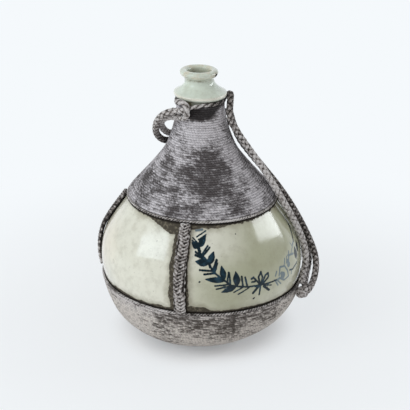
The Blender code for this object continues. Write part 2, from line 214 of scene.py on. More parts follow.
@dataclass(frozen=True)
class Body:
    """The turned body that everything lies on, as an outline of radius and height."""

    foot_radius: float = 38.5 * MM
    belly_radius: float = 87.3 * MM
    belly_height: float = 66 * MM
    neck_radius: float = 17.9 * MM
    neck_height: float = 202 * MM
    collar_underside: float = 212 * MM
    foot_height: float = 2.4 * MM
    seat_gap: float = 0.3 * MM
    lean: Lean = Lean()
    rising: Table = (
        (0, 0), (0.164, 0.035), (0.441, 0.15), (0.717, 0.34), (0.873, 0.56), (0.953, 0.78),
        (1, 1),
    )
    closing: Table = (
        (0.01, 0.1), (0.06, 0.19), (0.157, 0.28), (0.275, 0.37), (0.402, 0.46), (0.556, 0.55),
        (0.706, 0.64), (0.838, 0.73), (0.916, 0.82), (0.97, 0.91), (1, 1),
    )

    def outline(self) -> Array:
        """Draws the outline from foot to collar.

        Shares of the way out and up lead from the foot to the belly, and shares of the way in
        and up from there to the neck.

        Returns:
            Rows of radius and height.
        """
        foot = np.array([self.foot_radius, self.foot_height])
        belly = np.array([self.belly_radius, self.belly_height])
        neck = np.array([self.neck_radius, self.neck_height])
        lower = foot + np.array(self.rising) * (belly - foot)
        upper = belly + np.array(self.closing) * (neck - belly)
        end = np.array([[self.neck_radius, self.collar_underside]])
        return smooth_curve(np.concatenate([lower, upper, end]), THROUGH)

    def station_at(self, height: Array) -> Array:
        """Finds the distance along the outline to a height."""
        outline = self.outline()
        return np.interp(height, outline[:, 1], arc_lengths(outline))

    def stand_off(self, stations: Array, distance: Array) -> Array:
        """Moves outline points out along the outline's own normals.

        Args:
            stations: Distances along the outline.
            distance: How far out each point goes, one value or one for each station.

        Returns:
            Rows of radius and height.
        """
        outline = self.outline()
        along = arc_lengths(outline)
        slopes = np.gradient(outline, axis=0)
        normals = unit(np.stack([slopes[:, 1], -slopes[:, 0]], axis=1))
        normals[0] = (1, 0)
        place = [np.interp(stations, along, column) for column in outline.T]
        away = [np.interp(stations, along, column) for column in normals.T]
        return np.stack(place, axis=-1) + np.stack(away, axis=-1) * np.asarray(distance)[..., None]

    def placed(self, radius: Array, angle: Array, height: Array) -> Array:
        """Places points on the leaning flask.

        A point of the upright form is its radius times the sine and minus the cosine of its
        angle, and its height.

        Args:
            radius: Distances from the axis.
            angle: Angles from the front, in radians.
            height: Heights.

        Returns:
            Points, last axis x, y and z.
        """
        upright = np.broadcast_arrays(radius * np.sin(angle), -radius * np.cos(angle), height)
        return self.lean.moved(np.stack(upright, axis=-1))

    def turned(self, profile: Array, azimuths: Array) -> Array:
        """Carries a profile round the axis, one ring for each row of radius and height."""
        return self.placed(profile[:, :1], np.radians(azimuths), profile[:, 1:])


BODY = Body()


@dataclass(frozen=True)
class Cloud:
    """Fractal noise, the span that its patches ease over, how much it counts and how flat."""

    scale: float
    detail: float = 2.0
    roughness: float = 0.5
    low: float = 0.0
    high: float = 1.0
    amount: float = 1.0
    flat: float = 1.0


class Value:
    """Output of a shader node, which adds a Math node where it meets +, -, * or **."""

    def __init__(self, nodes: "Nodes", socket: bpy.types.NodeSocket) -> None:
        """Keeps the socket and the material's nodes."""
        self.nodes, self.socket = nodes, socket

    def __add__(self, other: "Value | float") -> "Value":
        """Adds a value or a number to this."""
        return self.nodes.math("ADD", self, other)

    def __sub__(self, other: "Value | float") -> "Value":
        """Takes a value or a number from this."""
        return self.nodes.math("SUBTRACT", self, other)

    def __rsub__(self, other: float) -> "Value":
        """Takes this from a number."""
        return self.nodes.math("SUBTRACT", other, self)

    def __mul__(self, other: "Value | float") -> "Value":
        """Multiplies this by a value or a number."""
        return self.nodes.math("MULTIPLY", self, other)

    def __pow__(self, other: float) -> "Value":
        """Raises this to a power."""
        return self.nodes.math("POWER", self, other)

    def beside(self, output: int | str) -> "Value":
        """Returns another output of the same node."""
        return Value(self.nodes, self.socket.node.outputs[output])


Input = Value | float | tuple


class Nodes:
    """Adds linked shader nodes to one new material."""

    def __init__(self, name: str) -> None:
        """Starts a material that holds only its shader, output and Object coordinates.

        Args:
            name: Name of the new material.
        """
        self.material = bpy.data.materials.new(name)
        self.material.use_nodes = True
        self.tree = self.material.node_tree
        self.shader = self.tree.nodes["Principled BSDF"]
        self.place = self.add("TexCoord", {}, "Object")

    def add(self, kind: str, inputs: dict, output: int | str = 0, **settings) -> Value:
        """Adds one node.

        Args:
            kind: Shader node type without its ShaderNode prefix.
            inputs: Numbers, colours or values for its inputs, by name or number.
            output: Name or number of the output that is wanted.
            **settings: Properties of the node.

        Returns:
            The wanted output.
        """
        node = self.tree.nodes.new("ShaderNode" + kind)
        for key, value in settings.items():
            setattr(node, key, value)
        for key, value in inputs.items():
            self.feed(node.inputs[key], value)
        return Value(self, node.outputs[output])

    def feed(self, socket: bpy.types.NodeSocket, value: Input) -> None:
        """Links a value to an input, or sets the input's own number or colour.

        Args:
            socket: The input.
            value: Value, number or colour for it.
        """
        if isinstance(value, Value):
            self.tree.links.new(value.socket, socket)
        else:
            socket.default_value = value

    def shade(self, inputs: dict) -> bpy.types.Material:
        """Feeds the shader's own inputs.

        Args:
            inputs: Numbers, colours or values, by the input's name.

        Returns:
            The material.
        """
        for key, value in inputs.items():
            self.feed(self.shader.inputs[key], value)
        return self.material

    def math(self, operation: str, first: Input, second: Input = 0.0) -> Value:
        """Adds a Math node and returns its result."""
        return self.add("Math", {0: first, 1: second}, operation=operation)

    def rise(self, value: Value, low: float, high: float) -> Value:
        """Eases a value from 0 at low to 1 at high.

        Args:
            value: The value.
            low: Where the result is 0, which may be the larger of the two.
            high: Where the result is 1.

        Returns:
            The eased value.
        """
        inputs = {"Value": value, "From Min": low, "From Max": high}
        if low > high:
            inputs |= {"From Min": high, "From Max": low, "To Min": 1.0, "To Max": 0.0}
        return self.add("MapRange", inputs, "Result", interpolation_type="SMOOTHSTEP")

    def between(self, share: Value, ends: Span) -> Value:
        """Goes from the first end to the second by a share, and returns the result."""
        return share * (ends[1] - ends[0]) + ends[0]

    def mix(self, factor: Value, first: Input, second: Input) -> Value:
        """Blends two colours and returns the result."""
        return self.add("Mix", {0: factor, 6: first, 7: second}, 2, data_type="RGBA")

    def laid(self, ground: Input, *layers: tuple[Value, Input]) -> Value:
        """Lays colours over a ground in turn.

        Args:
            ground: The lowest colour.
            *layers: Amount and colour of each layer.

        Returns:
            The blended colour.
        """
        for amount, colour in layers:
            ground = self.mix(amount, ground, colour)
        return ground

    def parts_of(self, vector: Value) -> tuple[Value, Value, Value]:
        """Splits a vector and returns its three parts."""
        first = self.add("SeparateXYZ", {0: vector})
        return first, first.beside(1), first.beside(2)

    def noise(self, cloud: Cloud) -> Value:
        """Adds fractal noise.

        Args:
            cloud: Its scale, detail, roughness and flatness.

        Returns:
            Its value, which lies about 0.5.
        """
        place = self.place
        if cloud.flat != 1.0:
            place = self.add("Mapping", {"Vector": place, "Scale": (1, 1, cloud.flat)})
        inputs = {"Scale": cloud.scale, "Detail": cloud.detail, "Roughness": cloud.roughness}
        return self.add("TexNoise", {"Vector": place} | inputs)

    def sway(self, cloud: Cloud) -> Value:
        """Adds noise about 0, times its amount."""
        return (self.noise(cloud) - 0.5) * cloud.amount

    def patches(self, cloud: Cloud) -> Value:
        """Adds noise eased over its span, times its amount."""
        return self.rise(self.noise(cloud), cloud.low, cloud.high) * cloud.amount

    def field(self, name: str) -> Value:
        """Returns a value that the mesh carries at its points."""
        return self.add("Attribute", {}, "Fac", attribute_name=name)

    def bump(
        self, height: Value, strength: float, distance: float, normal: Value | None = None
    ) -> Value:
        """Adds a bump from a height and returns the new normal."""
        inputs = {"Height": height, "Strength": strength, "Distance": distance}
        return self.add("Bump", inputs if normal is None else inputs | {"Normal": normal})


def lay_grid(
    name: str,
    points: Array,
    wrap: bool,
    corner_uv: Array | None = None,
    fields: dict[str, Array] | None = None,
    poles: tuple = (None, None),
) -> bpy.types.Object:
    """Makes a mesh of quads from a grid of points, with a fan of triangles at each pole.

    Args:
        name: Name of the new object.
        points: Grid of points, rows by columns by three.
        wrap: Whether the last column joins the first.
        corner_uv: Texture place of each quad's four corners, rows by columns by four by two.
        fields: Values for each grid point, by attribute name.
        poles: Points that close the first and the last row, or None.

    Returns:
        The new object, at the origin.
    """
    rows, columns = points.shape[:2]
    start_pole, end_pole = poles
    index = np.arange(rows * columns).reshape(rows, columns)
    left = index if wrap else index[:, :-1]
    right = np.roll(index, -1, axis=1) if wrap else index[:, 1:]
    quads = np.stack([left[:-1], right[:-1], right[1:], left[1:]], axis=-1).reshape(-1, 4)
    places = [points.reshape(-1, 3)]
    fans = []
    extra = rows * columns
    if start_pole is not None:
        fans.append(np.stack([np.full(len(left[0]), extra), right[0], left[0]], axis=-1))
        places.append(np.reshape(start_pole, (1, 3)))
        extra += 1
    if end_pole is not None:
        fans.append(np.stack([left[-1], right[-1], np.full(len(left[0]), extra)], axis=-1))
        places.append(np.reshape(end_pole, (1, 3)))
        extra += 1
    faces = quads.tolist() + [face for fan in fans for face in fan.tolist()]
    mesh = bpy.data.meshes.new(name)
    mesh.from_pydata(np.concatenate(places), [], faces)
    if corner_uv is not None:
        flat = np.zeros((len(mesh.loops), 2), np.float32)
        flat[: len(quads) * 4] = corner_uv.reshape(-1, 2)
        mesh.uv_layers.new(name="UVMap").data.foreach_set("uv", flat.ravel())
    for key, values in (fields or {}).items():
        flat = np.zeros(len(mesh.vertices), np.float32)
        flat[: rows * columns] = np.broadcast_to(values, (rows, columns)).ravel()
        if start_pole is not None:
            flat[rows * columns] = flat[0]
        if end_pole is not None:
            flat[extra - 1] = flat[rows * columns - 1]
        mesh.attributes.new(key, "FLOAT", "POINT").data.foreach_set("value", flat)
    mesh.shade_smooth()
    mesh.update()
    item = bpy.data.objects.new(name, mesh)
    bpy.context.scene.collection.objects.link(item)
    return item


class Finish(Protocol):
    """Look of a piece."""

    def material(self, name: str) -> bpy.types.Material:
        """Builds the material under a new name."""


def dress(
    item: bpy.types.Object, finish: Finish, fibre: str, node: str
) -> bpy.types.Object:
    """Gives a finished piece its material and body, and hides the CAD node that it stands for.

    Args:
        item: The piece.
        finish: Finish that builds its material.
        fibre: Name of the material.
        node: CAD node.

    Returns:
        The piece.
    """
    item.data.materials.append(finish.material(fibre))
    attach(item, "root")
    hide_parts(node)
    return item


def carried_frames(line: Array) -> tuple[Array, Array]:
    """Carries a pair of directions along a line with no twist of their own.

    Each station turns the last normal by as much as the line itself turns.

    Args:
        line: Points along the line.

    Returns:
        Normals and binormals at the points.
    """
    tangents = unit(np.gradient(line, axis=0))
    level = np.cross(tangents[0], (0, 0, 1.0))
    first = unit(level if np.linalg.norm(level) > 0.1 else np.cross(tangents[0], (0, 1.0, 0)))

    def turn(normal: Array, tangent: Array) -> Array:
        """Takes the part of a normal that is square to the next tangent."""
        return unit(normal - tangent * (normal @ tangent))

    normals = np.array(list(itertools.accumulate(tangents[1:], turn, initial=first)))
    return normals, np.cross(tangents, normals)


def plait_relief(around: Array, along: Array) -> Array:
    """Raises the pillows of a round plait, where two sets of strands cross over and under.

    The sum and the difference of the two ways count the strands of each set. Where both whole
    parts add up to an even number the one set lies on top. A strand is a half round across
    itself and swells a little in the middle of each crossing.

    Args:
        around: Way round the cord in strands.
        along: Way along the cord in strands.

    Returns:
        Height of the plait from 0 in its grooves to 1 on its crests.
    """
    one, other = around + along, around - along
    on_top = (np.floor(one) + np.floor(other)) % 2 < 1
    across = np.where(on_top, one % 1, other % 1)
    lengthways = np.where(on_top, other % 1, one % 1)
    rounded = np.sqrt(np.clip(1 - (2 * across - 1) ** 2, 0, 1))
    return rounded * (0.72 + 0.28 * (1 - (2 * lengthways - 1) ** 2))


@dataclass(frozen=True)
class CordForm:
    """How a round cord is made: its strands, their pitch, and how finely it is drawn."""

    strands: int
    pitch: float
    sides: int
    step: float
    depth_share: float = 0.3

    def swept(
        self, name: str, line: Array, radius: Array, relief: Array, stain: Stain
    ) -> bpy.types.Object:
        """Sweeps the cord along a line, with its relief pressed into it, and closes both ends.

        Each ring lies in the plane of the line's normal and binormal, and a point on it stands
        off by the radius less the depth of its groove.

        Args:
            name: Name of the new object.
            line: Points along the middle of the cord.
            radius: Radius over the crests, one or one for each point of the line.
            relief: Heights from 0 to 1, stations by sides.
            stain: How dark the fibre is, one value or values at even shares of the line.

        Returns:
            The new object.
        """
        normals, binormals = carried_frames(line)
        angle = np.linspace(0, 2 * math.pi, self.sides, endpoint=False)[None, :, None]
        radius = np.broadcast_to(radius, len(line))[:, None]
        reach = radius - self.depth_share * radius * (1 - relief)
        out = np.cos(angle) * normals[:, None] + np.sin(angle) * binormals[:, None]
        points = line[:, None] + reach[..., None] * out
        if np.ndim(stain):
            stain = spread(stain, len(line))[:, None]
        fields = {"relief": relief, "stain": np.broadcast_to(stain, relief.shape)}
        return lay_grid(name, points, True, None, fields, (line[0], line[-1]))

    def plaited(self, name: str, line: Array, radius: float, stain: Stain) -> bpy.types.Object:
        """Makes a round plait along a line, whose crossings are a pitch long.

        Args:
            name: Name of the new object.
            line: Points along the middle of the cord.
            radius: Radius over the crests.
            stain: How dark the fibre is, one value or values at even shares of the line.

        Returns:
            The new object.
        """
        line = evenly(line, self.step)
        around = np.linspace(0, self.strands, self.sides, endpoint=False)[None, :]
        relief = plait_relief(around, arc_lengths(line)[:, None] / self.pitch)
        return self.swept(name, line, radius, relief, stain)

    def twisted(
        self, name: str, line: Array, radius: Array | float, stain: Stain
    ) -> bpy.types.Object:
        """Makes a twist along a line: a rounded wave, once round for each ply, turns with it.

        Args:
            name: Name of the new object.
            line: Points along the cord.
            radius: Radius over the crests, one value or values at even shares of the line.
            stain: How dark the fibre is, one value or values at even shares of the line.

        Returns:
            The new object.
        """
        line = evenly(line, self.step)
        along = arc_lengths(line)
        turns = max(1, round(along[-1] / self.pitch))
        around = np.linspace(0, self.strands, self.sides, endpoint=False)[None, :]
        along = (along / along[-1] * turns)[:, None]
        relief = np.abs(np.cos(math.pi * (around + self.strands * along / 2))) ** 0.7
        if np.ndim(radius):
            radius = spread(radius, len(line))
        return self.swept(name, line, radius, relief, stain)


def spread(values: Array, count: int) -> Array:
    """Reads values that stand at even shares of a line at a count of even places."""
    return np.interp(np.linspace(0, 1, count), np.linspace(0, 1, len(values)), values)


@dataclass(frozen=True)
class GlazeFinish:
    """Celadon glaze over stoneware, with brushwork under it and old residue on it.

    A span is where a change starts and ends, in metres for a place on the flask.
    """

    # Light and deep: partly a greener glaze, partly painted shade on the flask's right side.
    light: Colour = linear(224, 223, 208)
    deep: Colour = linear(177, 178, 151)
    blush: Colour = linear(234, 218, 194)
    neck: Colour = linear(212, 221, 207)
    worn_lip: Colour = linear(212, 204, 182)
    # Browning under the lip and the collar: partly staining, partly painted shade under them.
    brown_and_shade: Colour = linear(122, 112, 86)
    # Inside: painted shade in the bore, eased in over the lip's inner rim.
    inside: Colour = linear(172, 174, 154)
    cream: Colour = linear(238, 234, 219)
    brush: Colour = linear(3, 28, 38)
    brush_wash: Colour = linear(34, 64, 80)
    faint: Colour = linear(72, 98, 114)
    grime: Colour = linear(150, 144, 122)
    residue: Colour = linear(74, 69, 60)
    residue_light: Colour = linear(118, 111, 96)
    shadowed: Colour = linear(32, 28, 24)

    tone_span: Span = (-0.035, 0.03)
    tone_sway: Cloud = Cloud(22, 3, 0.55, amount=0.05)
    top_span: Span = (0.084, 0.112)
    top_shift: float = 0.032
    low_spans: tuple[Span, Span] = ((0.078, 0.056), (0.02, 0.052))
    low_light: float = 0.45
    blush_span: Span = (-0.06, -0.085)
    blush_patches: Cloud = Cloud(14, 2, 0.5, 0.4, 0.62, 0.45)
    neck_span: Span = (0.198, 0.21)
    lip_span: Span = (0.2285, 0.2315)
    lip_wear: Cloud = Cloud(160, 2, 0.5, 0.35, 0.6, 0.8)
    soot_and_shade: Cloud = Cloud(190, 3, 0.6, 0.4, 0.7)
    least_soot_and_shade: float = 0.25
    smear: Cloud = Cloud(75, 5, 0.68, amount=12)
    grime_span: Span = (-5.2, 1.4)
    most_grime: float = 0.66
    mottle: Cloud = Cloud(130, 4, 0.66, 0.4, 0.72, 0.26)
    fleck: Cloud = Cloud(620, 1, 0.5, 0.73, 0.78, 0.45)
    bristle: Cloud = Cloud(700, 3, 0.6, amount=0.9, flat=0.5)
    load: Cloud = Cloud(210, 2, 0.5, 0.45, 0.75)
    ink_span: Span = (0.5, -0.02)
    faint_span: Span = (0.62, -0.1)
    most_faint: float = 0.85
    ragged: Cloud = Cloud(240, 4, 0.62, amount=3)
    residue_span: Span = (0.3, -0.4)
    crust: Cloud = Cloud(420, 4, 0.65, 0.46, 0.68)
    edge_sway: float = 0.35
    edge_span: Span = (0.9, -0.1)
    most_shadow: float = 0.9
    roughness: float = 0.12
    dry_roughness: float = 0.7
    wear: Cloud = Cloud(90, 2, amount=0.08)
    neck_gloss: float = -0.07
    coat: float = 0.85
    ink_dryness: float = 0.75
    swell: Cloud = Cloud(60, 2)
    throwing_waves: float = 700
    throwing_depth: float = 0.04
    glaze_bump: Span = (0.16, 0.0016)
    least_crust: float = 0.7
    crust_bump: Span = (0.5, 0.0006)

    def ground(self, nodes: Nodes) -> Value:
        """Colours the glaze: light to deep from left to right, celadon on the neck.

        The change from light to deep is partly a greener glaze and partly painted shade on the
        right side; noise sways it. Blush, wear at the lip, painted shade inside the bore, browning
        under the lip and the collar that is partly painted shade, a paler band round the collar,
        grime by the jacket, mottling and flecks are laid over it in turn.

        Args:
            nodes: Nodes of the material.

        Returns:
            The colour.
        """
        x, _, z = nodes.parts_of(nodes.place)
        # Painted shade: the tone darkens to the right, less so high up and low down on the right.
        across = x + nodes.sway(self.tone_sway) - nodes.rise(z, *self.top_span) * self.top_shift
        low, right = self.low_spans
        low = nodes.rise(z, *low) * nodes.rise(x, *right)
        warm = nodes.rise(x, *self.blush_span) * nodes.patches(self.blush_patches)
        worn = nodes.rise(z, *self.lip_span) * nodes.patches(self.lip_wear)
        soot_and_shade = nodes.patches(self.soot_and_shade) + self.least_soot_and_shade
        grime = nodes.sway(self.smear) - nodes.field("residue")
        return nodes.laid(
            nodes.mix(nodes.rise(across, *self.tone_span), self.light, self.deep),
            (low * self.low_light, self.light),
            (warm, self.blush),
            (nodes.rise(z, *self.neck_span), self.neck),
            (worn, self.worn_lip),
            (nodes.field("inner"), self.inside),
            (nodes.field("soiled") * soot_and_shade, self.brown_and_shade),
            (nodes.field("paler_band"), self.cream),
            (nodes.rise(grime, *self.grime_span) * self.most_grime, self.grime),
            (nodes.patches(self.mottle), self.grime),
            (nodes.patches(self.fleck), self.residue_light),
        )

    def material(self, name: str) -> bpy.types.Material:
        """Builds the glaze, its brushwork and its crusted edges.

        Ink shows where the distance to the strokes is low, residue where the distance to the
        jacket's edges is below a ragged limit, and a dark line where that is nearly nothing,
        which is painted shade along the jacket's edges. Dry crust, the painted shade line and ink
        take the gloss away.

        Args:
            name: Name of the new material.

        Returns:
            The material.
        """
        nodes = Nodes(name)
        bristle = nodes.sway(self.bristle)
        ink = nodes.rise(nodes.field("inked") + bristle, *self.ink_span)
        faint = nodes.rise(nodes.field("faint") + bristle, *self.faint_span)
        paint = nodes.mix(nodes.patches(self.load), self.brush, self.brush_wash)
        ragged = nodes.noise(self.ragged)
        limit = (ragged - 0.5) * self.ragged.amount
        residue = nodes.rise(nodes.field("residue") + limit, *self.residue_span)
        crust = nodes.mix(nodes.patches(self.crust), self.residue, self.residue_light)
        # Painted shade: a dark line on the glaze right along the jacket's edges.
        edge = nodes.rise(nodes.field("edge") + limit * self.edge_sway, *self.edge_span)
        colour = nodes.laid(
            self.ground(nodes),
            (faint * self.most_faint, self.faint),
            (ink, paint),
            (residue, crust),
            (edge * self.most_shadow, self.shadowed),
        )

        z = nodes.parts_of(nodes.place)[2]
        crust_and_shade = nodes.math("MAXIMUM", residue, edge)
        rough = crust_and_shade * self.dry_roughness + nodes.noise(self.wear) * self.wear.amount
        rough = rough + self.roughness + nodes.rise(z, *self.neck_span) * self.neck_gloss
        gloss = 1.0 - nodes.math("MAXIMUM", crust_and_shade, ink * self.ink_dryness)
        rings = nodes.math("SINE", z * self.throwing_waves) * self.throwing_depth
        normal = nodes.bump(nodes.noise(self.swell) + rings, *self.glaze_bump)
        crusted = (ragged + self.least_crust) * residue
        return nodes.shade({
            "Base Color": colour,
            "Roughness": rough,
            "IOR": 1.6,
            "Coat Weight": gloss * self.coat,
            "Specular IOR Level": 0.14,
            "Coat Roughness": 0.12,
            "Normal": nodes.bump(crusted, *self.crust_bump, normal),
        })


FIBRE_SHADER = {"Sheen Weight": 0.12, "Specular IOR Level": 0.25}


@dataclass(frozen=True)
class WeaveFinish:
    """Twined cord: rows of slanting stitches, light where worn, dark where soiled, and dark
    between the stitches as painted shade.

    Cloudy, streaky and patchy say how much of each is on the shoulder and on the base.
    """

    light: Colour = linear(208, 204, 207)
    soiled: Colour = linear(84, 79, 79)
    # Dark: heavy soiling, and the painted shade between the stitches.
    dark: Colour = linear(34, 31, 31)
    light_base: Colour = linear(210, 203, 196)
    soiled_base: Colour = linear(86, 79, 73)
    base_span: Span = (0.075, 0.04)
    slant: float = 0.5
    bulge: float = 0.64
    roundness: float = 0.7
    swell_span: Span = (0.1, 0.7)
    cloud: Cloud = Cloud(75, 6, 0.72, flat=1.8)
    cloudy: Span = (1.2, 0.4)
    streak: Cloud = Cloud(100, 5, 0.72, flat=6)
    streaky: Span = (1.8, 2.5)
    clean_span: Span = (1.02, 0.04)
    soaked_cloud: float = 0.5
    soaked_span: Span = (1.0, 1.3)
    most_soaked: float = 0.8
    patchy: Span = (0.55, 0.85)
    fibre: Cloud = Cloud(620, 4, 0.75, amount=1.8)
    clean_light: float = 1.1
    lit_span: Span = (0.845, 2.145)
    gap_light: Span = (0.3, 0.6)
    fibre_relief: float = 0.35
    bump: Span = (0.5, 0.0006)
    roughness: float = 0.88

    def material(self, name: str) -> bpy.types.Material:
        """Builds the weave from a texture place whose whole numbers are stitches and rows.

        A stitch is the product of two parabolas, along the row and across it, slanted by its
        place across the row. Each row is shifted by a chance share of a stitch, and each
        stitch is a chance bit lighter or darker. Clouds and streaks, more of them on the base,
        make the stain that the mesh carries uneven.

        Args:
            name: Name of the new material.

        Returns:
            The material.
        """
        nodes = Nodes(name)
        u, v, _ = nodes.parts_of(nodes.add("UVMap", {}, uv_map="UVMap"))
        row, across = nodes.math("FLOOR", v), nodes.math("FRACT", v)
        shift = nodes.add("TexWhiteNoise", {"W": row}, "Value", noise_dimensions="1D")
        way = u + shift + across * self.slant
        cell = nodes.add("CombineXYZ", {0: nodes.math("FLOOR", way), 1: row})
        chance = nodes.add("TexWhiteNoise", {"Vector": cell}, "Value", noise_dimensions="2D")
        along = self.parabola(nodes.math("FRACT", way)) * self.bulge + (1 - self.bulge)
        swell = along * self.parabola(across) ** self.roundness

        base = nodes.rise(nodes.parts_of(nodes.place)[2], *self.base_span)
        stain, cloud, fibre = nodes.field("stain"), nodes.sway(self.cloud), nodes.noise(self.fibre)
        uneven = cloud * nodes.between(base, self.cloudy)
        uneven = uneven + nodes.sway(self.streak) * nodes.between(base, self.streaky)
        clean = nodes.rise(stain + uneven, *self.clean_span)
        soaked = nodes.rise(stain + cloud * self.soaked_cloud, *self.soaked_span)
        thread = (chance - 0.5) * nodes.between(base, self.patchy) + fibre * self.fibre.amount
        lit = nodes.rise(clean * self.clean_light + thread, *self.lit_span)
        soiled = nodes.mix(base, self.soiled, self.soiled_base)
        pale = nodes.mix(lit, soiled, nodes.mix(base, self.light, self.light_base))
        pale = nodes.mix(soaked * self.most_soaked, pale, self.dark)
        # Painted shade: the gaps between the stitches go dark.
        gap = nodes.mix(nodes.between(clean, self.gap_light), self.dark, pale)
        return nodes.shade(FIBRE_SHADER | {
            "Base Color": nodes.mix(nodes.rise(swell, *self.swell_span), gap, pale),
            "Roughness": self.roughness,
            "Normal": nodes.bump(swell + fibre * self.fibre_relief, *self.bump),
        })

    @staticmethod
    def parabola(share: Value) -> Value:
        """Raises a share to 1 at its middle and 0 at both ends."""
        return share * (1.0 - share) * 4.0


@dataclass(frozen=True)
class PlaitFinish:
    """Plaited and twisted cord: pale on its crests, dark in its grooves as painted shade, flecked
    all over.
    """

    light: Colour = linear(206, 202, 200)
    middle: Colour = linear(132, 125, 121)
    # Dark: painted shade in the grooves, and heavy soiling.
    dark: Colour = linear(40, 36, 33)
    fleck: Cloud = Cloud(560, 4, 0.75, amount=2.4)
    fleck_relief: float = 0.7
    cloud: Cloud = Cloud(130, 3, 0.6, amount=0.8)
    fibre: Cloud = Cloud(1500, 2, 0.7, amount=0.4, flat=0.6)
    middle_span: Span = (0.12, 0.5)
    light_span: Span = (0.42, 0.92)
    bump: Span = (0.8, 0.0008)
    roughness: float = 0.9

    def material(self, name: str) -> bpy.types.Material:
        """Builds the plait from the relief and the stain that the mesh carries.

        Args:
            name: Name of the new material.

        Returns:
            The material.
        """
        nodes = Nodes(name)
        fleck = nodes.noise(self.fleck)
        soil = nodes.field("stain") + nodes.sway(self.cloud)
        # Painted shade: the relief darkens the grooves between the strands.
        lit = nodes.field("relief") + (fleck - 0.5) * self.fleck.amount - soil
        height = fleck * self.fleck_relief + nodes.noise(self.fibre) * self.fibre.amount
        colour = nodes.laid(
            self.dark,
            (nodes.rise(lit, *self.middle_span), self.middle),
            (nodes.rise(lit, *self.light_span), self.light),
        )
        return nodes.shade(FIBRE_SHADER | {
            "Base Color": colour,
            "Roughness": self.roughness,
            "Normal": nodes.bump(height, *self.bump),
        })


@dataclass(frozen=True)
class StudioFinish:
    """White sweep that keeps the flask's shadow and fades to an even tone away from it."""

    near: Colour = linear(247, 245, 244)
    far: Colour = linear(245, 249, 252)
    # Painted soft shade: the camera's glow is a little darker close to the flask.
    close: Colour = linear(240, 244, 247)
    cloud: Cloud = Cloud(3, 1, amount=0.02)
    contact_span: Span = (0.055, 0.088)
    fade_span: Span = (0.1, 0.42)
    least_glow: float = 0.28
    contact_glow: float = 0.48
    fade_glow: float = 0.24

    def material(self, name: str) -> bpy.types.Material:
        """Builds the sweep: lit paper close by, an even tone for the camera further out.

        Args:
            name: Name of the new material.

        Returns:
            The material.
        """
        nodes = Nodes(name)
        paper = {"Base Color": self.near, "Roughness": 0.85, "Specular IOR Level": 0.2}
        reach = nodes.add("VectorMath", {0: nodes.place}, "Value", operation="LENGTH")
        cloud = nodes.noise(self.cloud) * self.cloud.amount
        fade = nodes.rise(reach + cloud, *self.fade_span)
        glow = nodes.add("Emission", {"Color": nodes.mix(fade, self.close, self.far)})
        camera = nodes.add("LightPath", {}, "Is Camera Ray")
        seen = nodes.math("MAXIMUM", camera, camera.beside("Is Glossy Ray"))
        contact = nodes.rise(reach, *self.contact_span) * self.contact_glow
        amount = seen * (contact + fade * self.fade_glow + self.least_glow)
        lit = Value(nodes, nodes.shader.outputs[0])
        blend = nodes.add("MixShader", {0: amount, 1: lit, 2: glow})
        nodes.feed(nodes.tree.nodes["Material Output"].inputs["Surface"], blend)
        return nodes.shade(paper)


FLASK_MIDDLE = Vector((0, 0, 95 * MM))


def way_out(azimuth: float, elevation: float) -> Vector:
    """Points from the flask's middle to an azimuth and an elevation.

    Args:
        azimuth: Degrees from the front towards +X.
        elevation: Degrees above the level.

    Returns:
        Direction of length one.
    """
    turn, rise = math.radians(azimuth), math.radians(elevation)
    level = Vector((math.sin(turn), -math.cos(turn), 0))
    return level * math.cos(rise) + Vector((0, 0, math.sin(rise)))


def hang(
    name: str, data: bpy.types.ID, away: Vector, turned: Matrix | Quaternion
) -> bpy.types.Object:
    """Puts a turned camera or lamp at a way from the flask's middle.

    Args:
        name: Name of the new object.
        data: Its camera or light.
        away: Way from the flask's middle.
        turned: How it is turned.

    Returns:
        The new object.
    """
    item = bpy.data.objects.new(name, data)
    item.matrix_world = Matrix.LocRotScale(FLASK_MIDDLE + away, turned, None)
    bpy.context.scene.collection.objects.link(item)
    return item


@dataclass(frozen=True)
class Camera:
    """Camera at the photograph's angle: a long lens that looks down at the flask's front."""

    distance: float = 0.95
    elevation: float = 24.0
    roll: float = 1.0
    lens: float = 95.93
    shift_x: float = 0.0093
    shift_y: float = 0.0495

    def place(self) -> None:
        """Makes the camera, turned by its roll about its own view line."""
        back, right = way_out(0, self.elevation), Vector((1, 0, 0))
        up, turn = back.cross(right), math.radians(self.roll)
        rolled_right = right * math.cos(turn) - up * math.sin(turn)
        rolled_up = right * math.sin(turn) + up * math.cos(turn)
        data = bpy.data.cameras.new("camera")
        data.lens = self.lens
        data.shift_x, data.shift_y = self.shift_x, self.shift_y
        data.clip_start, data.clip_end = 0.05, 20
        turned = Matrix((rolled_right, rolled_up, back)).transposed()
        bpy.context.scene.camera = hang("camera", data, back * self.distance, turned)


@dataclass(frozen=True)
class SoftLamp:
    """One square soft lamp that looks at the flask from an azimuth and an elevation."""

    name: str
    azimuth: float
    elevation: float
    distance: float
    width: float
    height: float
    power: float
    mirrored: bool = True
    roll: float = 0.0
    tint: Point = (0.92, 0.97, 1.0)

    def place(self) -> None:
        """Makes the lamp, aimed at the middle of the flask."""
        away = way_out(self.azimuth, self.elevation)
        data = bpy.data.lights.new(self.name, "AREA")
        data.shape = "RECTANGLE"
        data.size, data.size_y = self.width, self.height
        data.energy = self.power
        data.color = self.tint
        rolled = Quaternion((0, 0, 1), math.radians(self.roll))
        turned = away.to_track_quat("Z", "Y") @ rolled
        hang(self.name, data, away * self.distance, turned).visible_glossy = self.mirrored


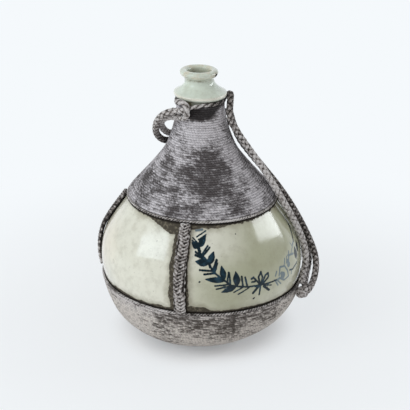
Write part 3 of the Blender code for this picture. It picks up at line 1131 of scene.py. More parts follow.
@dataclass(frozen=True)
class Studio:
    """Plain soft studio: a white sweep, a pale world and soft lamps."""

    half_width: float = 3.0
    front: float = -2.0
    bend_start: float = 1.3
    bend_radius: float = 0.8
    wall_height: float = 3.0
    world_colour: Colour = linear(250, 252, 255)
    world_strength: float = 0.45
    lamps: tuple[SoftLamp, ...] = (
        SoftLamp("left_window", -63, 29, 1.0, 0.60, 0.26, 2.0, roll=21, tint=(0.76, 0.89, 1.0)),
        SoftLamp("right_window", 100, 19, 1.0, 0.70, 0.15, 2.2, roll=-27),
        SoftLamp("left_fill", -48, 45, 1.6, 1.5, 1.5, 10.4, False, tint=(1.0, 0.985, 0.95)),
    )

    def sweep(self) -> None:
        """Makes the sweep: a floor that bends up into a wall on a quarter circle."""
        bend = np.radians(np.linspace(0, 90, 13))[1:]
        floor = np.stack([np.linspace(self.front, self.bend_start, 9), np.zeros(9)], axis=1)
        curve = np.stack([np.sin(bend), 1 - np.cos(bend)], axis=1) * self.bend_radius
        wall = np.array([[self.bend_start + self.bend_radius, self.wall_height]])
        line = np.concatenate([floor, curve + (self.bend_start, 0), wall])
        across = np.linspace(-self.half_width, self.half_width, 9)
        grid = np.stack(np.broadcast_arrays(across, line[:, :1], line[:, 1:]), axis=-1)
        item = lay_grid("white_sweep", grid, False)
        item.data.materials.append(StudioFinish().material("white_paper"))

    def build(self) -> None:
        """Makes the sweep, the world's even light and the lamps."""
        self.sweep()
        world = bpy.data.worlds.new("studio")
        world.use_nodes = True
        backdrop = world.node_tree.nodes["Background"]
        backdrop.inputs["Color"].default_value = self.world_colour
        backdrop.inputs["Strength"].default_value = self.world_strength
        bpy.context.scene.world = world
        for lamp in self.lamps:
            lamp.place()
        bpy.context.scene.view_settings.view_transform = "Standard"


@dataclass(frozen=True)
class CarryingCord:
    """Three runs of the plaited carrying cord, from the neck to the knot at the lower hem.

    The runs are drawn by points in millimetres, and stained at even shares of their length.
    """

    radius: float = 2.85 * MM
    crest: float = 0.15 * MM
    form: CordForm = CordForm(3, 5.2 * MM, 24, 0.55 * MM)
    path_step: float = 3 * MM
    front: Table = (
        (-5, 23.9, 201.3), (7.4, 24.2, 201.6), (18.2, 20.8, 203.8), (24.4, 13.8, 208.4),
        (26.5, 5.4, 212.4), (26.1, -3.6, 210.6), (24.9, -9.4, 203.4), (25.4, -10.4, 195.6),
        (28.2, -10, 188.6), (32, -9.8, 181.9), (36.9, -10, 174.6), (43.4, -11, 165.1),
        (50.3, -12, 155.6), (57.3, -14, 144.7), (64.2, -15, 132.9), (71, -16, 120.9),
        (77.7, -16, 108.4), (84.7, -13.5, 92.9), (88.7, -12.5, 81.5), (90.4, -14, 71.1),
        (89.4, -18.5, 64.4), (87.6, -25, 60.8), (86, -30.8, 57.6), (85, -34.2, 54.6),
    )
    outer: Table = (
        (-18.6, -13.8, 198.9), (-24.2, -12.5, 198.8), (-28.4, -8.5, 196.6), (-32.3, -1.5, 191.2),
        (-32.2, 6.6, 183.7), (-28.1, 14.6, 175.7), (-22.2, 23.6, 171.4), (-9, 31.4, 175.8),
        (4.6, 31.6, 182.6), (15.4, 26.4, 188), (22.6, 18.6, 192.2), (26, 10, 194.6),
        (26.7, 2, 192.6), (28.6, -2.4, 186.4), (31.8, -3.4, 180.8), (36.4, -3, 172.8),
        (43.1, -3.2, 162.7), (51.2, -4, 152.3), (60.4, -5, 140.9), (69.9, -6.5, 128.1),
        (78.6, -6.5, 114.1), (86.2, -4, 99.2), (92.1, -2, 86.2), (96.7, -2, 75.6),
        (100, -4.5, 65.1), (100.2, -9.5, 57.2), (97.8, -16.8, 49.8), (93.8, -24, 45),
        (90.5, -28.1, 43.4),
    )
    inner: Table = (
        (-20.5, -17.8, 205.2), (-23, -17.5, 204.6), (-28.4, -16.5, 202.6), (-33.4, -13, 197.8),
        (-36.5, -6, 189.4), (-36.9, 4.5, 178.4), (-32.5, 14, 169.5), (-26.3, 26.3, 163.8),
        (-10.4, 37, 166.8), (5, 36, 173.6), (16.8, 29.8, 179.8), (24.6, 20.8, 183.2),
        (28.6, 12.4, 183), (30.8, 5.8, 178.6), (34, 3.4, 172), (39.9, 3, 163.8), (48, 2.5, 153.3),
        (56.6, 1.5, 143), (64.8, 1.2, 132.4), (71.9, 1.8, 120.3), (78.2, 2.5, 106.9),
        (84.5, 3, 94.2), (89.6, 3, 81.7), (93, 2.5, 70.2), (94.6, 0.6, 63), (93.4, -6.5, 58),
        (91, -14, 54.6), (89.4, -21.5, 51.6), (88.4, -27.8, 49.6),
    )
    front_stain: Shares = (0.4, 0.5, 0.3, 0.0, -0.1, -0.1, 0.0, 0.15)
    outer_stain: Shares = (-0.15, 0.1, 0.4, 0.4, 0.4, 0.45, 0.35, 0.2)
    inner_stain: Shares = (0.05, 0.3, 0.6, 0.4, 0.3, 0.3, 0.3, 0.3)

    def run(self, side: str, points: Table, stain: Shares, with_pieces: list) -> bpy.types.Object:
        """Makes one run.

        Args:
            side: Which run it is.
            points: Points that draw the run.
            stain: Darkness of the fibre.
            with_pieces: Pieces that lie on the run; not used.

        Returns:
            The piece.
        """
        name = side + "_cord_run"
        line = smooth_curve(np.array(points) * MM, DRAWN)
        item = self.form.plaited(name, line, self.radius + self.crest, stain)
        dress(item, PlaitFinish(), name + "_fibre", "carry_cord_" + side)
        return item

    def build(self, hem_knot: bpy.types.Object) -> list[bpy.types.Object]:
        """Makes the three runs.

        Args:
            hem_knot: The knot that they end in.

        Returns:
            The pieces.
        """
        return [
            self.run("front", self.front, self.front_stain, []),
            self.run("outer", self.outer, self.outer_stain, [hem_knot]),
            self.run("inner", self.inner, self.inner_stain, []),
        ]


@dataclass(frozen=True)
class Knots:
    """The knot of the neck tie and the knot that gathers the runs at the lower hem."""

    neck_bight: Table = (
        (-21.2, -17.6, 205.1), (-16.4, -19.6, 205.9), (-12.6, -22, 206.3), (-9.9, -21.2, 203),
        (-12.6, -18.4, 199.1), (-16.4, -15.4, 198.9), (-19.4, -13.6, 198.9),
    )
    hem_azimuth: float = 68
    hem_height: float = 49.3 * MM
    hem_size: Point = (13 * MM, 10 * MM, 11.6 * MM)
    hem_cord: float = 3.4 * MM
    hem_stand: float = 3.5 * MM
    trefoil_width: float = 2.76
    trefoil_height: float = 3.0
    end_gap: float = 0.02
    places: int = 220
    cord_radius: float = 2.55 * MM
    form: CordForm = CordForm(3, 4.6 * MM, 20, 0.55 * MM)

    def overhand(self) -> Array:
        """Ties the line of the hem's overhand knot, a trefoil that fills its box less the cord.

        Across is the sine of the way plus twice the sine of double the way, up the cosine less
        twice the cosine of double the way, and out minus the sine of three times the way.

        Returns:
            Points along the line, placed on the leaning flask.
        """
        way = np.linspace(self.end_gap, 2 * math.pi - self.end_gap, self.places)
        wide, deep, high = (size / 2 - self.cord_radius for size in self.hem_size)
        across = (np.sin(way) + 2 * np.sin(2 * way)) / self.trefoil_width * wide
        rise = (np.cos(way) - 2 * np.cos(2 * way)) / self.trefoil_height * high
        reach = BODY.stand_off(BODY.station_at(LOWER_HEM), self.hem_cord)[0] + self.hem_stand
        out = reach - np.sin(3 * way) * deep
        turn = math.radians(self.hem_azimuth)
        radial = np.array([math.sin(turn), -math.cos(turn), 0])
        aside = np.array([math.cos(turn), math.sin(turn), 0])
        up = np.array([0, 0, 1])
        upright = across[:, None] * aside + out[:, None] * radial
        return BODY.lean.moved(upright + (rise + self.hem_height)[:, None] * up)

    def knot(self, name: str, node: str, line: Array, stain: float) -> bpy.types.Object:
        """Makes one knot of plaited cord."""
        item = self.form.plaited(name, line, self.cord_radius, stain)
        return dress(item, PlaitFinish(), name + "_fibre", node)

    def build(self) -> tuple[bpy.types.Object, bpy.types.Object]:
        """Makes both knots.

        Returns:
            The knot at the neck and the knot at the hem.
        """
        neck_line = smooth_curve(np.array(self.neck_bight) * MM, THROUGH)
        neck = self.knot("neck_knot_wraps", "neck_knot", neck_line, 0.0)
        return neck, self.knot("hem_knot_wraps", "hem_knot", self.overhand(), 0.1)


@dataclass(frozen=True)
class NeckTie:
    """Thin twisted cord tied round the neck under the collar, darker on its right side.

    It leaves its knot for the front over the cover's edge, goes round the bare neck and comes
    back over the knot as a broad band. Tables hold shares of the ring's way and how much the
    cord dips or rides outwards there, or how thick it is.
    """

    radius: float = 1.6 * MM
    band_radius: float = 2.5 * MM
    height: float = 210.1 * MM
    dip: float = 3.4 * MM
    dipping: Table = ((0, 1), (0.04, 0.62), (0.08, 0.2), (0.13, 0), (1, 0))
    ride: float = 2.4 * MM
    riding: Table = ((0, 1), (0.08, 1), (0.14, 0), (1, 0))
    thickness: Table = ((0, radius), (0.7, radius), (0.8, band_radius), (1, band_radius))
    start: float = -34
    end: float = 262
    band: Table = (
        (-17.9, -9, 210.4), (-16.8, -16.5, 212.4), (-13.4, -21.5, 213.2), (-10.6, -24.2, 211.2),
        (-9.8, -24.4, 207.8), (-11.5, -21.4, 203.8),
    )
    stain: Shares = (0.0, 0.1, 0.6, 0.8, 0.7, 0.5, 0.5, 0.5, 0.4, 0.1, 0.0)
    form: CordForm = CordForm(2, 7 * MM, 14, 0.5 * MM)
    ring_places: int = 120
    places_apart: int = 4

    def build(self) -> bpy.types.Object:
        """Makes the tie along a ring round the neck that ends in the band over its knot.

        Returns:
            The piece.
        """
        way = np.linspace(0, 1, self.ring_places)[:: self.places_apart]
        angle = np.radians(self.start + way * (self.end - self.start))
        height = self.height - self.dip * np.interp(way, *zip(*self.dipping))
        out = self.ride * np.interp(way, *zip(*self.riding))
        out = out + BODY.neck_radius + BODY.seat_gap + self.radius
        corners = np.concatenate([BODY.placed(out, angle, height), np.array(self.band) * MM])
        line = smooth_curve(corners, THROUGH)
        radius = np.interp(np.linspace(0, 1, 50), *zip(*self.thickness))
        item = self.form.twisted("neck_tie_cord", line, radius, self.stain)
        return dress(item, PlaitFinish(), "neck_tie_fibre", "neck_tie")


@dataclass(frozen=True)
class Hem:
    """One hem: a twisted cord that lies on the glaze along its cover's edge."""

    side: str
    height: float
    radius: float = 1.05 * MM
    start: float = 170
    stain: float = 0.15
    stain_sway: Waver = Waver(9 * MM, 31, 0.25)
    places: int = 361
    form: CordForm = CordForm(2, 2.6 * MM, 12, 0.7 * MM)

    def build(self) -> bpy.types.Object:
        """Makes the hem on a closed ring.

        Returns:
            The piece.
        """
        name = self.side + "_hem_twist"
        radius, height = BODY.stand_off(BODY.station_at(self.height), BODY.seat_gap + self.radius)
        azimuths = np.linspace(0, 360, self.places) + self.start
        line = BODY.placed(radius, np.radians(azimuths), height)
        stain = self.stain + self.stain_sway.at(line[::4])
        item = self.form.twisted(name, line, self.radius, stain)
        return dress(item, PlaitFinish(), name + "_fibre", self.side + "_hem")


@dataclass(frozen=True)
class Strap:
    """One flat plaited strap that lies on the glaze from hem to hem."""

    side: str
    azimuth: float
    width: float = 9.8 * MM
    thickness: float = 4.2 * MM
    squareness: float = 0.75
    hem_reach: float = 1.7 * MM
    strands: int = 4
    pitch: float = 12 * MM
    groove: float = 1.3 * MM
    swing_reach: float = 0.74
    strand_half: float = 0.34
    strand_dip: float = 0.24
    edge_fade: float = 0.35
    edge_crest: float = 0.62
    edge_swell: float = 0.3
    edge_start: float = 0.8
    edge_rise: float = 0.15
    waver_along: Waver = Waver(5 * MM, 17, 0.2)
    waver_across: Waver = Waver(3 * MM, 18, 0.24)
    waver_width: Waver = Waver(7 * MM, 5, 0.3 * MM)
    side_thinning: float = 0.6
    stain: float = 0.23
    stain_sway: Waver = Waver(9 * MM, 11, 0.16)
    side_shade: float = 0.9
    shade_reach: float = 0.6
    shade_fade: float = 0.25
    rings: int = 150
    sides: int = 56

    def flat_plait(self, turns: Array, across: Array) -> Array:
        """Raises the strands of a flat plait.

        Each strand swings from edge to edge on a sine of its way along and rises and dips on a
        sine of twice that way, so that it passes over one neighbour and under the next. A strand
        is a half round across itself, and the highest strand shows.

        Args:
            turns: Way along the strap in full swings.
            across: Way across it from -1 to 1.

        Returns:
            Height from 0 between the strands to 1 on the highest crest.
        """
        swing = 2 * math.pi * (turns + np.arange(self.strands)[:, None, None] / self.strands)
        away = (across - self.swing_reach * np.sin(swing)) / self.strand_half
        rise = 1 - self.strand_dip + self.strand_dip * np.sin(2 * swing)
        return (np.sqrt(np.clip(1 - away**2, 0, 1)) * rise).max(axis=0)

    def relief(self, stations: Array, across: Array, out: Array) -> Array:
        """Raises the whole strap: the plait, and the strands that turn back along its edges.

        The plait wavers in its place and fades towards the thin edges, where a ridge stands that
        swells on a sine along the strap.

        Args:
            stations: Distances along the body's outline, as a column.
            across: Way across the strap from -1 to 1, as a row.
            out: Way through its thickness from -1 to 1, as a row.

        Returns:
            Height from 0 to 1, stations by sides.
        """
        turns = (stations - stations[0]) / self.pitch + self.waver_along.at(stations)[:, None]
        plait = self.flat_plait(turns, across + self.waver_across.at(stations)[:, None])
        fade = 1 - self.edge_fade * np.clip(1 - np.abs(out), 0, 1)
        ridge = self.edge_crest + self.edge_swell * np.sin(4 * math.pi * stations / self.pitch)
        at_edge = smooth_share((np.abs(across) - self.edge_start) / self.edge_rise)
        return np.maximum(plait * fade, ridge * at_edge)

    def build(self) -> bpy.types.Object:
        """Makes the strap: a flattened round carried up the body, with its relief pressed in.

        Returns:
            The piece.
        """
        start = BODY.station_at(LOWER_HEM) + self.hem_reach
        end = BODY.station_at(UPPER_HEM) - self.hem_reach
        stations = np.linspace(start, end, self.rings)[:, None]
        angle = np.linspace(0, 2 * math.pi, self.sides, endpoint=False)
        circle = np.stack([np.cos(angle), np.sin(angle)])[:, None]
        across, out = np.sign(circle) * np.abs(circle) ** self.squareness
        relief = self.relief(stations, across, out)
        depth = self.groove * (1 - relief)
        half_width = self.width / 2 + self.waver_width.at(stations)[:, None]
        aside = across * (half_width - self.side_thinning * depth * np.abs(across))
        half = self.thickness / 2
        lift = half + out * (half - np.where(out > 0, depth, 0.0))
        path = BODY.stand_off(np.broadcast_to(stations, lift.shape), BODY.seat_gap + lift)
        radius, height = path[..., 0], path[..., 1]
        points = BODY.placed(radius, math.radians(self.azimuth) + aside / radius, height)
        # Painted shade: the stain darkens the strap's side next to the glaze.
        low = smooth_share((self.shade_reach - lift / self.thickness) / self.shade_fade)
        stain = np.clip(self.stain + self.stain_sway.at(points) + self.side_shade * low, 0, 1)
        fields = {"relief": relief[:, ::-1], "stain": stain[:, ::-1]}
        points = points[:, ::-1]
        name = self.side + "_strap_plait"
        item = lay_grid(name, points, True, None, fields, (points[0].mean(0), points[-1].mean(0)))
        return dress(item, PlaitFinish(), name + "_fibre", self.side + "_strap")


@dataclass(frozen=True)
class Cover:
    """One part of the woven jacket: rows of twined stitches over the body.

    Spots of soil are rows of azimuth, height and reach in millimetres, and strength.
    """

    name: str
    node: str
    start: float
    end: float
    spots: Table
    soil: float = 0.5
    closed_foot: bool = False
    thickness: float = 2.1 * MM
    groove: float = 0.55 * MM
    row_pitch: float = 2.0 * MM
    stitch: float = 2.4 * MM
    samples: int = 4
    columns: int = 180
    inner_rings: int = 24
    roundness: float = 0.7
    clouds: tuple[Waver, Waver] = (Waver(14 * MM, 3, 0.12), Waver(5 * MM, 4, 0.1))
    spot_flatness: float = 1.2
    most_soil: float = 1.6
    foot_rows: int = 6
    pole_radius: float = 1 * MM

    def stain(self, azimuths: Array, heights: Array, grid: Array) -> Array:
        """Adds up soft round spots and cloudy variation, as how soiled the weave is.

        A spot is a bell of its own reach about a place on the cover, counted as distance
        round the body and height.

        Args:
            azimuths: Degrees of the columns.
            heights: Upright heights of the rows.
            grid: Points of the cover.

        Returns:
            Soil for each point, from 0 for clean to 1 for dark and more where it is soaked.
        """
        radius = np.hypot(grid[..., 0], grid[..., 1])
        total = self.soil + sum(cloud.at(grid) for cloud in self.clouds)
        for azimuth, height, reach, strength in self.spots:
            aside = np.radians(turn_from(azimuth, azimuths)) * radius
            above = (heights[:, None] - height * MM) * self.spot_flatness
            total = total + strength * np.exp(-((np.hypot(aside, above) / (reach * MM)) ** 2))
        return np.clip(total, 0, self.most_soil)

    def closed(self, outside: Array, across: Array) -> tuple[Array, Array]:
        """Closes the shell behind its outside.

        A closed foot also has a flat underside and a flat floor above it, out to the foot's rim.

        Args:
            outside: Radius and height along the outside.
            across: Row numbers there.

        Returns:
            Rows of radius and height, and the row number at each.
        """
        inside = BODY.stand_off(np.linspace(self.end, self.start, self.inner_rings), BODY.seat_gap)
        under, floor = np.zeros((0, 2)), outside[:1]
        if self.closed_foot:
            rim, pole = BODY.foot_radius, self.pole_radius
            under = np.array([(pole, 0), (rim / 2 + pole, 0), (rim + pole, 0)])
            floor = np.array([(out, self.thickness) for out in (rim, rim / 2, pole)])
        before = np.arange(-len(under), 0) * self.foot_rows
        after = across[-1] + 1 + np.arange(len(inside) + len(floor))
        row_at = np.concatenate([before, across, after])
        return np.concatenate([under, outside, inside, floor]), row_at

    def build(self) -> bpy.types.Object:
        """Makes the cover: a row is a rounded half wave, its stitches counted from its girth.

        Returns:
            The piece.
        """
        length = self.end - self.start
        rows = round(length / self.row_pitch)
        stations = np.linspace(self.start, self.end, rows * self.samples + 1)
        across = (stations - self.start) / length * rows
        valley = 1 - np.abs(np.sin(math.pi * across)) ** self.roundness
        lift = BODY.seat_gap + self.thickness - self.groove * valley
        outside = BODY.stand_off(stations, lift)
        profile, row_at = self.closed(outside, across)
        azimuths = np.linspace(0, 360, self.columns, endpoint=False)
        points = BODY.turned(profile, azimuths)
        poles = (points[0].mean(0), points[-1].mean(0)) if self.closed_foot else (None, None)
        middle = np.floor((row_at[:-1] + row_at[1:]) / 2) + 0.5
        girth = 2 * math.pi * np.interp(middle, across, outside[:, 0])
        uv = self.corner_places(row_at, np.maximum(8, np.round(girth / self.stitch)))
        fields = {"stain": self.stain(azimuths, profile[:, 1], points)}
        item = lay_grid(self.name, points, True, uv, fields, poles)
        return dress(item, WeaveFinish(), self.name + "_twine", self.node)

    def corner_places(self, row_at: Array, count: Array) -> Array:
        """Places each quad's corners in the weave: stitches round the row, rows up the cover.

        Args:
            row_at: Row number at each ring.
            count: Stitches round the body for each band between rings.

        Returns:
            Texture places, bands by columns by four corners by two.
        """
        turn = np.arange(self.columns) / self.columns
        step = 1 / self.columns
        u = np.stack([turn, turn + step, turn + step, turn], axis=-1)[None] * count[:, None, None]
        low, high = row_at[:-1], row_at[1:]
        v = np.stack([low, low, high, high], axis=-1)[:, None, :]
        return np.stack(np.broadcast_arrays(u, v), axis=-1)


@dataclass(frozen=True)
class Wreath:
    """Brush strokes of the laurel wreath, as places on the body in azimuth and height.

    A stroke is a row of azimuth and height at both ends, and its half width. Heights and widths
    are in millimetres.
    """

    girth_radius: float = 82
    stem_half: float = 0.55
    leaves: Table = (
        (-2.5, 108.7, 2.5, 115.9, 2.6), (-2, 108.5, -6.8, 111.3, 2.5), (4, 96.7, 7.3, 105.5, 2.6),
        (4, 97.2, -4, 98.6, 2.5), (12, 84.4, 11, 95.5, 2.3), (12.8, 84, 1.5, 85.6, 2.2),
        (19, 78.2, 18.8, 90.2, 2.7), (18.5, 78, 10, 74.3, 2.2), (67.8, 79.8, 69.5, 90.3, 3.2),
        (72, 84, 76, 92, 2.4),
    )
    lines: Table = (
        (4, 98.1, 4.5, 94.6, 0.7), (-2.5, 109.9, -1.5, 105.3, 1.2), (-4, 105.3, 2.5, 99.9, 0.6),
        (-4, 103, 2, 100.2, 0.7), (0, 103.4, 3.5, 109.4, 0.6), (0.8, 103, 4.8, 108.3, 0.6),
        (6.2, 91.8, 8.5, 99.5, 0.9), (6.8, 90, 8.8, 97.2, 0.6), (-1.2, 92.5, 6.8, 91.8, 0.6),
        (1.2, 89.3, 7.3, 90.2, 0.6), (13.5, 82.8, 14.8, 90, 0.5), (15.2, 80.5, 15, 89.8, 0.6),
        (6.8, 80, 15, 80.5, 0.5), (7.5, 77.3, 16, 79.4, 0.5), (22.2, 77.3, 22, 85.4, 0.6),
        (24.8, 76.6, 24, 84.4, 0.6), (17, 73.3, 21.8, 76.3, 0.4), (19.5, 71, 25.8, 75.2, 0.4),
        (29.8, 75, 32.8, 75.6, 0.7), (32.8, 75.6, 29, 82.8, 0.6), (29, 82.8, 27.8, 82.1, 0.7),
        (29.8, 79.1, 27.8, 79.4, 0.6), (32.8, 75.6, 32.2, 82.1, 0.6),
        (32.2, 82.1, 34.2, 85.8, 0.6), (34.2, 85.8, 34.8, 81.2, 0.6),
        (34.8, 81.2, 33.2, 75.6, 0.6), (34, 75.9, 36.8, 81.9, 0.6), (36.8, 81.9, 39, 83.1, 0.6),
        (39, 83.1, 39, 80, 0.6), (39, 80, 35, 75.9, 0.6), (32, 74.7, 28.2, 69.6, 0.9),
        (33, 74.5, 32.2, 66.6, 0.6), (35.2, 73.8, 40.8, 71.7, 0.4), (35.2, 73.1, 39, 68, 0.8),
        (68, 76.8, 61, 74.7, 0.6), (61, 74.7, 57.7, 76.1, 0.5), (71.2, 93.7, 74.5, 99, 0.7),
        (74.5, 99, 77.8, 104.1, 0.8), (77.8, 104.1, 79.8, 111, 0.8),
        (-1.5, 83.3, -1.3, 83.4, 0.5), (29, 64.8, 28.5, 64.3, 0.5), (23, 115.9, 23.1, 115.8, 0.3),
        (-3.8, 115.3, 2.4, 119.6, 0.35), (-2.6, 113.4, 2.6, 117, 0.35),
        (-6.4, 114.7, -3.4, 112, 0.35), (-6.6, 112.8, -4.4, 111, 0.35),
    )
    stem: Table = (
        (-3.7, 110.4), (-1.8, 105.3), (1, 101.8), (4, 97.9), (5.8, 92.3), (8.8, 87.9),
        (12.2, 83.7), (15.8, 79.4), (19.8, 77.7), (25, 76.1), (32.5, 75.2), (36.5, 74.5),
        (44.5, 74.3),
    )
    faint: Table = (
        (-4.5, 119.6, 0, 120.3, 0.6), (44.2, 78, 45.5, 81.2, 0.5), (43.2, 75, 46, 68.9, 0.4),
        (45.2, 74, 48.5, 68.9, 0.4), (45, 74.3, 50, 74, 0.6), (47.2, 77, 48.8, 83.5, 0.6),
        (48.8, 83.5, 53, 82.4, 0.6), (53, 82.4, 55.2, 77, 0.6), (55.2, 77, 56, 71.5, 0.6),
        (56, 71.5, 51.5, 70.6, 0.5), (51.5, 70.6, 47, 75, 0.6), (53, 83.7, 54.5, 87.7, 0.4),
        (55, 83.5, 57.2, 88.4, 0.4), (57.2, 82.6, 60.5, 90.7, 0.6), (58.5, 88.4, 65.2, 86.3, 0.6),
        (62.2, 87.7, 67.8, 92.3, 0.3), (67.8, 92.3, 71.2, 93.7, 0.6), (65.8, 94.9, 67, 91.2, 0.3),
        (59.3, 71.7, 59.8, 74.3, 0.4), (50.5, 75.4, 50.6, 75.4, 2.7),
        (49.5, 77.7, 49.6, 77.7, 1.4), (57.2, 81.4, 57.3, 81.4, 2.2),
        (56.8, 84.4, 56.9, 84.4, 1.6),
    )

    def distances(
        self, azimuths: Array, heights: Array, strokes: Array, pointed: bool = False
    ) -> Array:
        """Measures how far each place lies outside the nearest stroke, in millimetres.

        A place's way along a stroke is its share of the stroke's length, held to 0 to 1. Its
        distance from there, less the stroke's half width, is below zero in the stroke. A leaf's
        half width follows a sine from its base to its tip.

        Args:
            azimuths: Degrees of the places.
            heights: Upright heights of the places.
            strokes: Rows of the strokes.
            pointed: Whether the strokes are leaves that come to a point.

        Returns:
            The least distance over the strokes for each place.
        """
        to_mm = math.radians(1) * self.girth_radius
        place = np.stack([azimuths * to_mm, heights / MM], axis=-1)[..., None, :]
        start = strokes[:, :2] * (to_mm, 1)
        way = strokes[:, 2:4] * (to_mm, 1) - start
        length = (way**2).sum(axis=-1)
        share = np.clip(((place - start) * way).sum(axis=-1) / length, 0, 1)
        away = np.linalg.norm(place - start - share[..., None] * way, axis=-1)
        width = strokes[:, 4] * (np.sin(math.pi * share**0.85) if pointed else 1)
        return (away - width).min(axis=-1)

    def inked(self, azimuths: Array, heights: Array) -> Array:
        """Measures the dark strokes: leaves, lines and the stem.

        Args:
            azimuths: Degrees of the places.
            heights: Upright heights of the places.

        Returns:
            Distance in millimetres outside the nearest dark stroke.
        """
        stem = [(*start, *end, self.stem_half) for start, end in zip(self.stem, self.stem[1:])]
        lines = self.distances(azimuths, heights, np.array([*self.lines, *stem]))
        leaves = self.distances(azimuths, heights, np.array(self.leaves), True)
        return np.minimum(leaves, lines)

    def thinned(self, azimuths: Array, heights: Array) -> Array:
        """Measures the faint strokes, where the brush was nearly dry."""
        return self.distances(azimuths, heights, np.array(self.faint))


@dataclass(frozen=True)
class CeramicFlask:
    """The glazed stoneware flask: body, neck, collar, lip and hollow inside.

    Shares of the mouth run from one corner of a part to the other, out and up or down. Reaches
    of the residue are rows of azimuth and millimetres from the hem, and the chip is an azimuth,
    a height and a radius in millimetres. The fine rings and columns carry the painted fields.
    """

    height: float = 235.2 * MM
    wall: float = 5 * MM
    floor_wall: float = 7 * MM
    bore_radius: float = 9.8 * MM
    bore_depth: float = 44 * MM
    bore_flare: float = 8 * MM
    collar_radius: float = 22.1 * MM
    collar_height: float = 5.5 * MM
    throat_radius: float = 12.1 * MM
    lip_radius: float = 15.9 * MM
    lip_height: float = 7.1 * MM
    lip_shift: float = -0.8 * MM
    shift_start: float = 221 * MM
    shift_rise: float = 7 * MM
    lip_shares: Table = (
        (0.0, 0.33), (0.22, 0.06), (0.52, 0.0), (0.84, 0.10), (1.0, 0.33), (0.86, 0.66),
    )
    throat_shares: Table = ((0.04, 0.0), (0.02, 0.24), (0.10, 0.48), (0.34, 0.72), (0.66, 0.93))
    collar_shares: Table = ((0.18, 0.14), (0.0, 0.44), (0.20, 0.80), (0.70, 0.97))

    pole_radius: float = 1 * MM
    bore_step: float = 12 * MM
    foot_ring: float = 0.7
    fine_start: float = 57 * MM
    fine_end: float = 125.5 * MM
    rings: tuple[int, int, int] = (14, 116, 22)
    inner_apart: int = 6
    lip_rings: int = 8
    column_runs: Table = ((-62, -20, 1.0), (-20, 80, 0.46), (80, 298, 3.0))
    strap_columns: Shares = (-5.2, -4.3, -3.6, -3.0, 3.0, 3.6, 4.3, 5.2)
    jacket_top: float = 130 * MM
    collar_start: float = 205 * MM
    lip_start: float = 225 * MM
    far: float = 9.0
    girth_radius: float = 84
    upper_reach: Table = (
        (-180, 3), (-140, 5), (-100, 2), (-62, 1.2), (-48, 1.8), (-38, 3), (-30, 6.5), (-22, 9),
        (-12, 9), (-8, 5), (-3, 3.4), (5, 3.6), (11, 3.8), (17, 3), (26, 2.2), (36, 2.6),
        (50, 1.6), (80, 2.4), (120, 5), (180, 3),
    )
    lower_reach: Table = (
        (-180, 2.5), (-150, 4.5), (-100, 2), (-70, 1.6), (-48, 4.2), (-40, 2.6), (-34, 3.8),
        (-22, 3.6), (-12, 5), (-7, 6.8), (1, 6.2), (5, 3), (10, 2.2), (15, 3.8), (24, 3.2),
        (32, 2.4), (60, 2), (130, 4.5), (180, 2.5),
    )
    strap_reach: Span = (9.3, 6.3)
    ragged: tuple[Waver, Waver] = (Waver(3.2, 21, 0.9), Waver(1.3, 22, 0.5))
    ragged_hem: float = 0.5
    ragged_strap: float = 0.6
    edge_reach: float = 1.3
    strap_half: float = 4.8
    chip: Point = (63.0, 231.8, 1.7)
    chip_flatness: float = 1.4
    lip_soot_and_shade: float = 0.75
    lip_soot_and_shade_reach: float = 1.6 * MM
    collar_soot_and_shade_top: float = 1.2 * MM
    collar_soot_and_shade_fade: float = 1.5 * MM
    paler_line: float = 3.1 * MM
    paler_reach: float = 1 * MM
    paler_span: Span = (211 * MM, 219 * MM)
    paler_side: Point = (40, 60, 0.3)

    def throat_top(self) -> float:
        """Returns the height at which the throat meets the lip."""
        return self.height - self.lip_height

    def mouth(self) -> Array:
        """Draws the rounded lip, throat and collar from the bore's edge downwards.

        Returns:
            Rows of radius and height.
        """
        throat_top = self.throat_top()
        collar_top = (self.collar_radius, BODY.collar_underside + self.collar_height)
        parts = (
            ((self.bore_radius, self.height), (self.lip_radius, throat_top), self.lip_shares),
            ((self.throat_radius, throat_top), collar_top, self.throat_shares),
            (collar_top, (BODY.neck_radius, BODY.collar_underside), self.collar_shares),
        )
        corners = [np.array([[self.bore_radius, self.height - self.bore_flare]])]
        for start, end, shares in parts:
            corners.append(start + np.array(shares) * np.subtract(end, start))
        return smooth_curve(np.concatenate(corners), THROUGH, 5)

    def profile(self) -> tuple[Array, Array]:
        """Returns the whole profile, from the foot's middle round to the floor inside.

        Returns:
            Rows of radius and height, and for each how far inside it counts, from 0 to 1.
        """
        marks = (self.fine_start, self.fine_end, BODY.collar_underside)
        fine, coarse, top = (BODY.station_at(mark) for mark in marks)
        below, glazed, above = self.rings
        stations = [
            np.linspace(0, fine, below, endpoint=False),
            np.linspace(fine, coarse, glazed, endpoint=False),
            np.linspace(coarse, top, above),
        ]
        stations = np.concatenate(stations)
        outside = BODY.stand_off(stations, 0.0)
        mouth = self.mouth()[::-1]
        bore_foot = self.height - self.bore_depth
        floor_height = BODY.foot_height + self.floor_wall
        inner = BODY.stand_off(stations[:: -self.inner_apart], -self.wall)
        radius, height = inner.T
        kept = (radius > self.bore_radius) & (height < bore_foot)
        kept = kept & (height > floor_height + self.wall)
        bore = np.array([(self.bore_radius, bore_foot + up) for up in (self.bore_step, 0)])
        floor = np.array([(BODY.foot_radius - self.wall, 0), (self.pole_radius, 0)])
        foot = np.array([(self.pole_radius, 0), (BODY.foot_radius * self.foot_ring, 0)])
        foot, floor = foot + (0, BODY.foot_height), floor + (0, floor_height)
        shell = [foot, outside, mouth[1:]]
        hollow = [bore, inner[kept], floor]
        edge = sum(map(len, shell))
        profile = np.concatenate(shell + hollow)
        # How far inside a place counts sets the painted shade in the bore, eased over the lip's
        # inner rings.
        inside = np.where(np.arange(len(profile)) < edge, 0.0, 1.0)
        inside[edge - self.lip_rings : edge] = np.linspace(0.1, 0.9, self.lip_rings)
        return profile, inside

